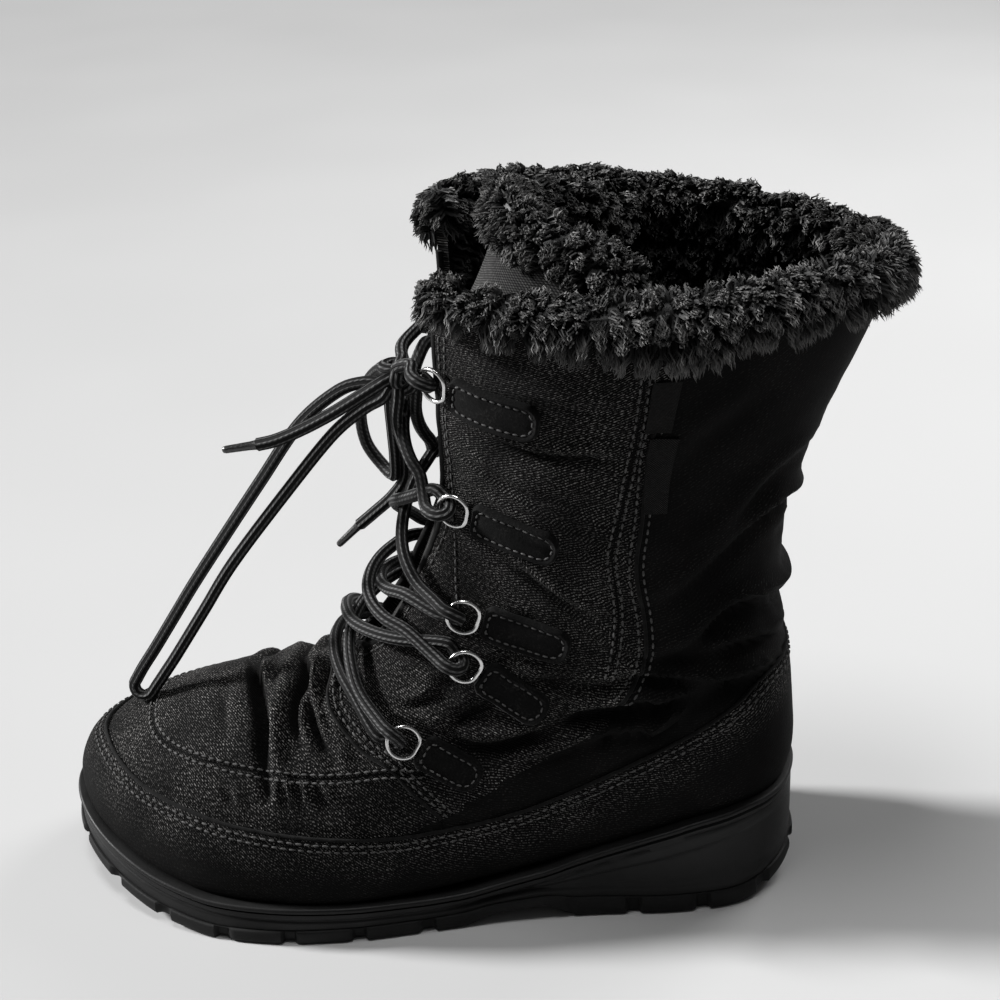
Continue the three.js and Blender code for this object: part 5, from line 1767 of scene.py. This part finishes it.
@dataclass
class Sole:
    """The cupped shell with its bead and panels, the lugged tread and the insole."""

    finish: Finishes
    spacing: float = 1.25
    bead: float = 2.8

    # y, outer half, inner half
    OUTLINE = (
        (-238, -12, 12), (-234, 6, 28), (-222, 24.5, 39.5), (-203, 41.5, 47.5), (-178, 54, 51),
        (-152, 59, 51.5), (-124, 58.5, 49.5), (-96, 54, 45.5), (-66, 48.5, 42),
        (-34, 45.5, 41.5), (0, 44.5, 42), (24, 39, 38), (40, 24, 24), (46.5, 0, 0))
    # y, height of the tread, of the parting and of the bead
    HEIGHTS = (
        (-240, 18, 22.5, 33), (-238, 16, 20.5, 31.5), (-222, 9.5, 14.5, 26), (-200, 3.2, 9, 20.5),
        (-178, 0, 6, 17), (-124, 0, 6, 15), (-96, 0, 6, 14.5), (-80, 0, 6.5, 15),
        (-72, 4, 8.5, 16.5), (-48, 6, 10.5, 22), (-42, 0, 9, 24.5), (-11, 0, 8, 35),
        (7, 0, 8, 40.5), (26, 0, 8, 44), (46.5, 7, 12, 43.5), (49, 8, 13, 43.5))

    def outline(self) -> tuple[Array, Array]:
        """Return the sole's outline and its outward directions."""
        rows = self.OUTLINE
        outer = [(row[1], row[0]) for row in rows[::-1]]
        inner = [(-row[2], row[0]) for row in rows[1:-1]]
        ring = outer + inner
        fine = spline(ring[-2:] + ring + ring[:3], 20)[40:-40]
        line = even(fine[:-1], self.spacing, True)
        tangent = unit(np.roll(line, -1, 0) - np.roll(line, 1, 0))
        out = np.stack([tangent[:, 1], -tangent[:, 0]], 1)
        if (out * (line - line.mean(0))).sum() < 0:
            out = -out
        return line, out

    def heights(self, y: Array) -> tuple[Array, Array, Array]:
        """Return the tread's, the parting's and the bead's heights."""
        rows = np.array(self.HEIGHTS)
        kernel = np.array([np.interp(y + k, rows[:, 0], rows[:, c]) for k in (-3, 0, 3)
                           for c in (1, 2, 3)]).reshape(3, 3, -1).mean(0)
        return kernel[0], kernel[1], kernel[2]

    def build(self) -> None:
        """Make the shell, the tread and the insole."""
        self.shell()
        self.outsole()
        self.insole()

    def ring(self, line: Array, out: Array, inset: Array, z: Array) -> Array:
        """Return one level of a sole piece."""
        flat = line - out * np.asarray(inset)[..., None]
        return np.column_stack([flat, np.broadcast_to(z, len(line))])

    def shell(self) -> None:
        """Make the cupped shell: a wall with a bead, a groove and the heel's panel."""
        line, out = self.outline()
        y = line[:, 1]
        _, parting, bead = self.heights(y)
        levels = []
        share = np.r_[0, 0.04, np.linspace(0.08, 0.94, 24), 0.97]
        groove = bead - self.bead
        wall = groove - parting
        swoosh = np.interp(y, (-96, -70, -40, -5, 25, 40), (7.5, 11, 15.5, 24, 32, 34))
        lower = np.interp(y, (-80, -55, -20, 20, 40), (9.5, 13, 12.5, 12, 14.5))
        heel = smoothstep(y, -92, -60) * (1 - smoothstep(y, 30, 42))
        for f in share:
            z = parting + wall * f
            inset = 0.6 + 0.5 * np.abs(f - 0.5) ** 3
            line_up = 0.9 * bell(z - swoosh, 0.9) + 0.8 * bell(z - lower, 0.8)
            panel = 0.8 * smoothstep(z - lower, 0, 1.6) * (1 - smoothstep(z - swoosh, -1.6, 0))
            rib = 0.6 * bell(z - (groove - 3.0), 0.7) * (wall > 4)
            levels.append(self.ring(line, out, inset + heel * (line_up + panel) + rib, z))
        levels.append(self.ring(line, out, 1.5, groove))
        for turn in np.linspace(-0.5, 0.5, 7) * pi:
            z = groove + 0.5 + (self.bead - 0.5) * (0.5 + 0.5 * sin(turn))
            levels.append(self.ring(line, out, 0.9 - 0.95 * cos(turn), z))
        levels.append(self.ring(line, out, 6.4, bead - 0.4))
        levels.append(self.ring(line, out, 6.6, parting + 0.4))
        levels.append(levels[0])
        self.piece("sole_shell", "midsole", levels, self.finish.shell, Slot.SHELL)

    def piece(self, name: str, node: str, levels: list[Array], material: bpy.types.Material,
              slot: Slot) -> None:
        """Loft a sole piece through its levels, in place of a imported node."""
        points = np.stack(levels)
        points = np.concatenate([points, points[:, :1]], 1)
        thing = net(name, points, merge=0.00004)
        smooth(thing, 42)
        dress(thing, material, slot, node)

    def outsole(self) -> None:
        """Make the tread: side lugs, and chevron grooves underneath."""
        line, out = self.outline()
        y = line[:, 1]
        tread, parting, _ = self.heights(y)
        run = run_length(line)
        toe = run[y.argmin()]
        place = np.abs(run - toe)
        gap = smoothstep(np.abs((place + 3) % 26.0 - 13), 9.7, 10.9)
        gap = gap * (1 - smoothstep(y, -84, -76) * (1 - smoothstep(y, -44, -38)))
        middle = np.stack([np.interp(y, [r[0] for r in self.OUTLINE],
                                     [(r[1] - r[2]) / 2 for r in self.OUTLINE]),
                           np.clip(y, -222, 32)], 1)
        levels = []
        for share in (0.0, 0.6):
            flat = middle + (line - out * 9 - middle) * share
            levels.append(np.column_stack([flat, parting - 0.4]))
        levels.append(self.ring(line, out, 0.2, parting - 0.3))
        for f, inset in ((0.92, -0.15), (0.8, -0.5), (0.45, -0.75), (0.2, -0.7), (0.06, -0.2)):
            z = tread + (parting - tread) * f
            depth = 2.0 if f < 0.85 else 0.6
            levels.append(self.ring(line, out, inset + gap * depth, z))
        for share in np.linspace(0, 1, 34):
            edge = line - out * (0.6 + gap * 1.6)[:, None]
            flat = edge + (middle - edge) * share
            levels.append(np.column_stack([flat, tread + self.groove(flat, share)]))
        self.piece("sole_tread", "outsole", levels, self.finish.tread, Slot.TREAD)

    def groove(self, flat: Array, share: float) -> Array:
        """Return the depth of the tread's pattern under the sole."""
        slant = np.abs(flat[:, 0] + 1.5) * 0.5
        wave = (flat[:, 1] + slant + 400) % 17.0
        cut = smoothstep(np.abs(wave - 8.5), 5.6, 6.5)
        spine = 1 - smoothstep(np.abs(np.abs(flat[:, 0]) - 19), 1.2, 2.2)
        arch = 1 - smoothstep(flat[:, 1], -82, -74) * (1 - smoothstep(flat[:, 1], -46, -40))
        inside = smoothstep(np.full(len(flat), share), 0.04, 0.1)
        return 3.4 * np.maximum(cut, spine) * arch * inside

    def insole(self) -> None:
        """Make the felt insole."""
        line, out = self.outline()
        y = np.clip(line[:, 1], -232, 60)
        lows = np.array([(row[2], row[3]) for row in Last.ROWS[1:13]])
        seat = np.interp(y, lows[:, 0], np.minimum(lows[:, 1], 29.5)) + WALL + 0.6
        middle = np.column_stack([np.full(len(line), -1.0), np.clip(line[:, 1], -205, 20)])
        levels = []
        for inset, rise in ((13.0, 0.0), (11.6, 1.0), (11.2, 3.0), (12.4, 4.6)):
            levels.append(self.ring(line, out, inset, seat + rise))
        edge = line - out * 12.4
        for share in np.linspace(0.1, 1, 12):
            flat = edge + (middle - edge) * share
            level = np.interp(flat[:, 1], lows[:, 0], np.minimum(lows[:, 1], 29.5)) + WALL + 5.4
            level = level + 0.3 * NOISE(np.column_stack([flat, level]), 12)
            levels.append(np.column_stack([flat, level]))
        under = [np.column_stack([levels[0][:, :2] * 0.5 + middle * 0.5, seat])]
        self.piece("insole_felt", "insole", under + levels, self.finish.felt, Slot.INSOLE)


@dataclass
class Seat:
    """Where a ring lies on the fabric, with its forward, up and outward directions."""

    origin: Array
    forward: Array
    up: Array
    out: Array
    at: Array

    @staticmethod
    def find(place: Array, towards: Array) -> "Seat":
        """Find the seat nearest a place, with its back to another place."""
        at = LAST.locate(place)[0]
        origin = LAST.points(at[0], at[1])
        out = LAST.normals(at[0], at[1])
        forward = origin - towards
        forward = unit(forward - out * (forward @ out))
        return Seat(origin, forward, np.cross(out, forward), out, at)

    def point(self, forward: Array, up: Array, out: Array) -> Array:
        """Return a point given from the seat."""
        forward, up, out = np.broadcast_arrays(forward, up, out)
        return (self.origin + forward[..., None] * self.forward + up[..., None] * self.up
                + out[..., None] * self.out)


@dataclass
class Hardware:
    """The D-rings on their leather tabs."""

    finish: Finishes
    wire: float = 0.82
    half: float = 6.0
    front: float = 5.8
    back: float = 5.5
    lift: float = 2.2
    tilt: float = 0.3
    tab_width: float = 14.0
    tab_corner: float = 5.5
    stitch: Stitching = Stitching(2.0, 0.9, 0.75, 0.55)

    def seat(self, row: int, hand: int) -> tuple[Seat, Array]:
        """Return a ring's seat and its tab's far end."""
        place, end = (np.array(p, float) * (hand, 1, 1) for p in RINGS[row])
        return Seat.find(place, end), end

    def ring_line(self, seat: Seat) -> Array:
        """Return the wire's middle line."""
        back, middle = self.back, self.front - self.half
        turn = np.linspace(-0.78, 0.78, 41) * pi
        flat = [(middle + self.half * cos(t), self.half * sin(t)) for t in turn]
        flat += [(-back + 0.12, 2.6), (-back, 1.6), (-back, 0), (-back, -1.6), (-back + 0.12, -2.6)]
        flat = np.array(flat)
        x = flat[:, 0] + back
        return seat.point(x * cos(self.tilt) - back, flat[:, 1], self.lift + x * sin(self.tilt))

    def build(self) -> None:
        """Make the rings, the tabs and the stitches round them."""
        runs = []
        for hand, word in ((1, "outer"), (-1, "inner")):
            for row in range(5):
                seat, end = self.seat(row, hand)
                line = even(self.ring_line(seat), 0.8, True)
                ring = tube(f"d_ring_{word}_{row + 1}", line, self.wire, 12, True)
                dress(ring, self.finish.steel, Slot.STEEL, f"ring_{word}_{row + 1}")
                runs.append(self.tab(seat, end, f"tab_{word}_{row + 1}"))
        dress(self.stitch.rows("tab_stitches", runs), self.finish.thread, Slot.TAB)

    def outline(self, length: float, inset: float) -> Array:
        """Return the tab's outline, from its front over its round end."""
        half, corner = self.tab_width / 2 - inset, self.tab_corner - inset * 0.6
        ends = -length + inset
        turn = np.linspace(0, 0.5, 8) * pi
        top = [(-inset, half - 2.0), (-inset - 2.0, half)]
        bow = [(ends + corner - corner * sin(t), half - corner + corner * cos(t)) for t in turn]
        upper = np.array(top + bow)
        lower = upper[::-1] * (1, -1)
        return even(np.vstack([upper, lower]), 0.9, True)

    def tab(self, seat: Seat, end: Array, name: str) -> Array:
        """Make one tab with a raised rim.

        Args:
            seat: The ring's seat.
            end: The tab's far end.
            name: The piece's name.
        Returns:
            The row of its stitches.
        """
        front = seat.point(-self.back - self.wire - 0.2, 0.0, 0.0)
        middle = Seat.find((front + end) / 2, end)
        length = float(np.linalg.norm(front - end))
        profile = ((0.0, -0.6), (0.0, 1.0), (0.35, 2.0), (0.9, 2.6), (1.5, 2.35), (2.3, 1.6),
                   (3.4, 1.75), (5.0, 1.9))
        base = self.outline(length, 0)
        core = np.array([-length / 2, 0.0])
        taper = np.array([2 / length, 1 / 7.0])

        def laid(flat: Array, height: float) -> tuple[Array, Array]:
            """Lay flat points on the softened creases, with their outward directions."""
            spots = middle.point(flat[:, 0] + length / 2, flat[:, 1], 0.0)
            u, a = LAST.locate(spots).T
            return LAST.surface(u, a, 0.7 * RELIEF(u, a) + height), LAST.normals(u, a)

        rows = [laid(core + (base - core) * (1 - inset * taper), height)[0]
                for inset, height in profile]
        rows += [laid(core + (base - core) * (1 - 5 / 7.0) * share, 1.9)[0]
                 for share in (0.5, 0.2)]
        points = np.stack(rows)
        points = np.concatenate([points, points[:, :1]], 1)
        dress(net(f"leather_{name}", points, caps=True), self.finish.nubuck, Slot.TAB, name)
        flat = core + (base - core) * (1 - 2.3 * taper)
        return np.hstack(laid(np.vstack([flat, flat[:1]]), 1.75))


@dataclass
class Lacing:
    """The lace: its crossings through the rings, the knot, two loops and two ends."""

    finish: Finishes
    hardware: Hardware
    radius: float = CORD / 2 + 0.28
    knot: tuple[float, float, float] = (9.0, -95.0, 208.0)
    tip_length: float = 13.0

    # section where the run bows to, how proud it stands
    CROSSINGS = ((13.2, 4.6), (9.7, 6.0), (8.1, 6.0), (7.0, 6.0))
    BAR = (6.25, 4.2)
    # Routes, x, y, z.
    LONG_LOOP = (
        (7, -100.8, 203.5), (5, -108, 203.5), (3, -118, 199.5), (1, -133, 186.5),
        (-1, -149.5, 163.5), (-3, -167, 138.5), (-5, -180, 119.5), (-7, -190, 104),
        (-9, -199, 90), (-9.6, -205.2, 80.9), (-10, -208.5, 75.5), (-9.9, -210.1, 72.5),
        (-9.2, -209.3, 69.5), (-8.2, -206.6, 68.3), (-7.5, -203.5, 69.5), (-7.2, -200.2, 74),
        (-6.2, -195.6, 80.7), (-5, -190, 89), (-3, -177, 109), (-1, -163, 130.5), (1, -140, 160),
        (3, -121, 183), (5, -109, 193.5), (7, -101.5, 198.5))
    SHORT_LOOP = (
        (2, -99, 207.5), (-8, -104, 203), (-18, -110, 193), (-25, -114, 179), (-27, -113, 166),
        (-25, -107, 157), (-19, -102.5, 156), (-13, -101, 166), (-7, -100.5, 180),
        (-1, -100, 192), (2.5, -99, 199))
    FRONT_END = (
        (14.5, -101, 207), (14, -108, 202.5), (13, -119, 195.5), (12, -130, 189.5),
        (11, -140, 185), (10, -147, 183))
    LOW_END = (
        (10, -96, 199.5), (6, -97.5, 190), (-2, -97, 179), (-11, -96.5, 168), (-18, -98, 156),
        (-22, -104, 146), (-24, -112, 138), (-25, -118, 132.5))

    def build(self) -> None:
        """Make every run of the lace."""
        self.crossings()
        self.tie()
        self.free("lace_loop_long", self.LONG_LOOP, None)
        self.free("lace_loop_short", self.SHORT_LOOP, None)
        self.free("lace_end_front", self.FRONT_END, (9, -160, 180.8))
        self.free("lace_end_low", self.LOW_END, (-26, -127, 123.5))

    def rope(self, name: str, path: Array) -> bpy.types.Object:
        """Sweep a run of lace, with its lengthwise ribs."""
        return tube(name, path, self.radius, 24, ribs=0.28, rib_count=8)

    def through(self, row: int, hand: int, under: float) -> tuple[Array, Array]:
        """Return the turn through a ring, and its place on the fabric.

        Args:
            row: The ring's row.
            hand: 1 outer, -1 inner.
            under: The side the lower run keeps to, as a share of its width.
        Returns:
            The turn's points, from under the wire to over it, and the seat's place ahead.
        """
        seat, _ = self.hardware.seat(row, hand)
        line = ((10.5, under * 2.6, 3.0), (6.0, under * 2.2, 2.7), (2.0, under * 1.6, 3.4),
                (0.4, 0.0, 5.8), (2.2, -under * 1.4, 8.4), (6.0, -under * 2.0, 8.8),
                (10.5, -under * 2.6, 6.4))
        points = np.array([seat.point(*(np.float64(v) for v in p)) for p in line])
        return points, LAST.locate(seat.point(np.float64(12.5), 0.0, 0.0))[0]

    def crossing(self, start: Array, end: Array, row: float, proud: float) -> Array:
        """Return a run between two rings, bowed over the throat."""
        t = np.linspace(0, 1, 9)[1:-1]
        bow = np.sin(pi * t)
        u = start[0] + (end[0] - start[0]) * t + (row - (start[0] + end[0]) / 2) * bow
        a = start[1] + (end[1] - start[1]) * t
        return LAST.surface(u, a, 3.6 + (proud - 3.1) * bow)

    def crossings(self) -> None:
        """Run the lace from the knot down one zigzag, over the bar and up the other."""
        order = [(0, 1), (1, -1), (2, 1), (3, -1), (4, 1), (4, -1), (3, 1), (2, -1), (1, 1),
                 (0, -1)]
        path = []
        middle = np.array(self.knot)
        turns = [self.through(row, hand, 1.0 if k < 5 else -1.0)
                 for k, (row, hand) in enumerate(order)]
        path.append(middle + (1.5, 2.0, -1.0))
        seat_point = turns[0][0][-1]
        path.append(seat_point * 0.5 + middle * 0.5 + (1.0, -2.5, 1.0))
        for k, (points, at) in enumerate(turns):
            down = k < 5
            points = points[::-1] if down else points
            path.extend(points)
            if k + 1 == len(turns):
                break
            following = turns[k + 1][1]
            pair = sorted((order[k][0], order[k + 1][0]))
            if pair[0] == pair[1]:
                path.extend(self.crossing(at, following, *self.BAR))
            else:
                row, proud = self.CROSSINGS[pair[0]]
                path.extend(self.crossing(at, following, row, proud + (0.4 if down else 4.6)))
        last = turns[-1][0][-1]
        path.append(last * 0.5 + middle * 0.5 + (-1.0, -2.5, 1.0))
        path.append(middle + (-1.5, 2.0, 1.0))
        line = even(spline(path, 10), 1.1)
        dress(self.rope("laced_run", line), self.finish.braid, Slot.LACE, "lace_crossings")

    def tie(self) -> None:
        """Make the bow's knot."""
        t = np.linspace(0, 2 * pi, 90, endpoint=False)
        loop = np.stack([np.sin(t) + 2 * np.sin(2 * t), -np.sin(3 * t) * 1.5,
                         np.cos(t) - 2 * np.cos(2 * t)], 1) * 2.1
        turn = np.array(Matrix.Rotation(0.5, 3, "X") @ Matrix.Rotation(0.4, 3, "Z"))
        path = even(loop @ turn.T + np.array(self.knot), 1.0, True)
        thing = tube("bow_knot", path, self.radius, 24, True, 0.28, 8)
        dress(thing, self.finish.braid, Slot.LACE, "lace_knot")

    def free(self, name: str, route: Sequence[Sequence[float]],
             tip: Optional[Sequence[float]]) -> None:
        """Args:
            name: The piece's name.
            route: The run's points.
            tip: Where its film tip points, or None for a loop.
        """
        middle = np.array(self.knot)
        route = np.array(route, float)
        first = route[0] + (middle - route[0]) * 0.5
        last = [route[-1] + (middle - route[-1]) * 0.5] if tip is None else []
        path = even(spline(np.vstack([first, route, *last]), 16), 1.2)
        piece = self.rope(name.replace("lace", "bow"), path)
        dress(piece, self.finish.braid, Slot.LACE, name)
        if tip is not None:
            self.tip(name.replace("lace_end", "aglet"), path[-1], np.array(tip))

    def tip(self, name: str, start: Array, towards: Array) -> bpy.types.Object:
        """Make the film tip of a lace end."""
        way = unit(towards - start)
        share = np.array([-0.1, -0.04, 0, 0.04, 0.2, 0.5, 0.9, 0.97, 1.0])
        size = np.array([1.3, 1.75, 1.95, 1.8, 1.6, 1.5, 1.4, 1.2, 0.7])
        path = start + way * (share * self.tip_length)[:, None]
        made = tube(name.replace("aglet", "lace_tip"), path, size, 16)
        return dress(made, self.finish.film, Slot.TIP, name)


# ---------------------------------------------------------------- stage

@dataclass(frozen=True)
class Stage:
    """The floor, the soft lights and the camera."""

    azimuth: float = 92.7
    elevation: float = 26.21
    roll: float = -2.71
    distance: float = 0.6383
    lens: float = 63.2
    target: tuple[float, float, float] = (0.0005, -0.0626, 0.154)

    # kind, place, strength, angle or width
    LIGHTS = (
        ("SUN", (-0.16, -1.0, 0.66), 7.6, radians(9)),
        ("AREA", (0.15, -0.25, 1.5), 10, 0.5),
        ("AREA", (-0.9, 0.9, 1.1), 14, 0.9))
    WORLD_TONE, WORLD_STRENGTH = 0.8, 0.11
    FLOOR_TONES = (0.41, 0.42)

    def build(self) -> None:
        """Set up the stage."""
        bpy.context.scene.view_settings.view_transform = "Standard"
        self.floor()
        self.world()
        self.lights()
        self.camera()

    def floor(self) -> None:
        """Lay the plain pale floor."""
        deselect()
        bpy.ops.mesh.primitive_plane_add(size=60)
        floor = bpy.context.object
        floor.name = "floor"
        n = Nodes("pale floor", Specular_IOR_Level=0.2)
        tone = n.remap(n.noise(n.place(), 0.4, 2), 0.3, 0.7)
        colour = n.mix(tone, *map(grey, self.FLOOR_TONES))
        floor.data.materials.append(n.finish(colour, n.remap(tone, 0, 1, 0.7, 0.8)))
        floor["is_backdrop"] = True

    def world(self) -> None:
        """Fill from all round with soft grey."""
        world = bpy.data.worlds.new("studio")
        world.use_nodes = True
        back = world.node_tree.nodes["Background"]
        back.inputs["Color"].default_value = grey(self.WORLD_TONE)
        back.inputs["Strength"].default_value = self.WORLD_STRENGTH
        bpy.context.scene.world = world

    def lights(self) -> None:
        """Set one broad soft light above the toe, and panels overhead and behind."""
        for light in self.LIGHTS:
            self.lamp(*light)

    def lamp(self, kind: str, place: tuple[float, float, float], power: float,
             size: float) -> None:
        """Hang one light and aim it at the boot.

        Args:
            kind: SUN for the broad light, AREA for a panel.
            place: Where it hangs.
            power: Its strength.
            size: Its angle or its width.
        """
        deselect()
        bpy.ops.object.light_add(type=kind, location=place)
        light = bpy.context.object
        light.data.energy = power
        if kind == "SUN":
            light.data.angle = size
        else:
            light.data.shape = "DISK"
            light.data.size = size
        aim = Vector(self.target) - Vector(place)
        light.rotation_euler = aim.to_track_quat("-Z", "Y").to_euler()

    def camera(self) -> None:
        """Place the camera."""
        a, e, r = radians(self.azimuth), radians(self.elevation), radians(self.roll)
        back = Vector((sin(a) * cos(e), -cos(a) * cos(e), sin(e)))
        right = (-back).cross(Vector((0, 0, 1))).normalized()
        up = right.cross(-back)
        across = right * cos(r) + up * sin(r)
        upward = up * cos(r) - right * sin(r)
        data = bpy.data.cameras.new("camera")
        data.lens = self.lens
        data.sensor_width = 36
        data.clip_start = 0.01
        camera = bpy.data.objects.new("camera", data)
        bpy.context.scene.collection.objects.link(camera)
        place = Vector(self.target) + back * self.distance
        matrix = Matrix((across, upward, back)).transposed().to_4x4()
        matrix.translation = place
        camera.matrix_world = matrix
        bpy.context.scene.camera = camera


def corners(box: Sequence[Vector]) -> list[list[float]]:
    """Return a box's corners as plain lists."""
    return [[float(v) for v in corner] for corner in box]


def main() -> None:
    """Build the boot, piece by piece."""
    logging.basicConfig(level=logging.INFO, format="%(message)s")
    finish = Finishes.all()
    Stage().build()
    hardware = Hardware(finish)
    Lacing(finish, hardware).build()
    Upper(finish).build()
    Tongue(finish).build()
    FurCollar(finish).build()
    Sole(finish).build()
    hardware.build()
    {"cad": corners(CAD_BOX), "visual": corners(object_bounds())}


if __name__ == "__main__":
    main()
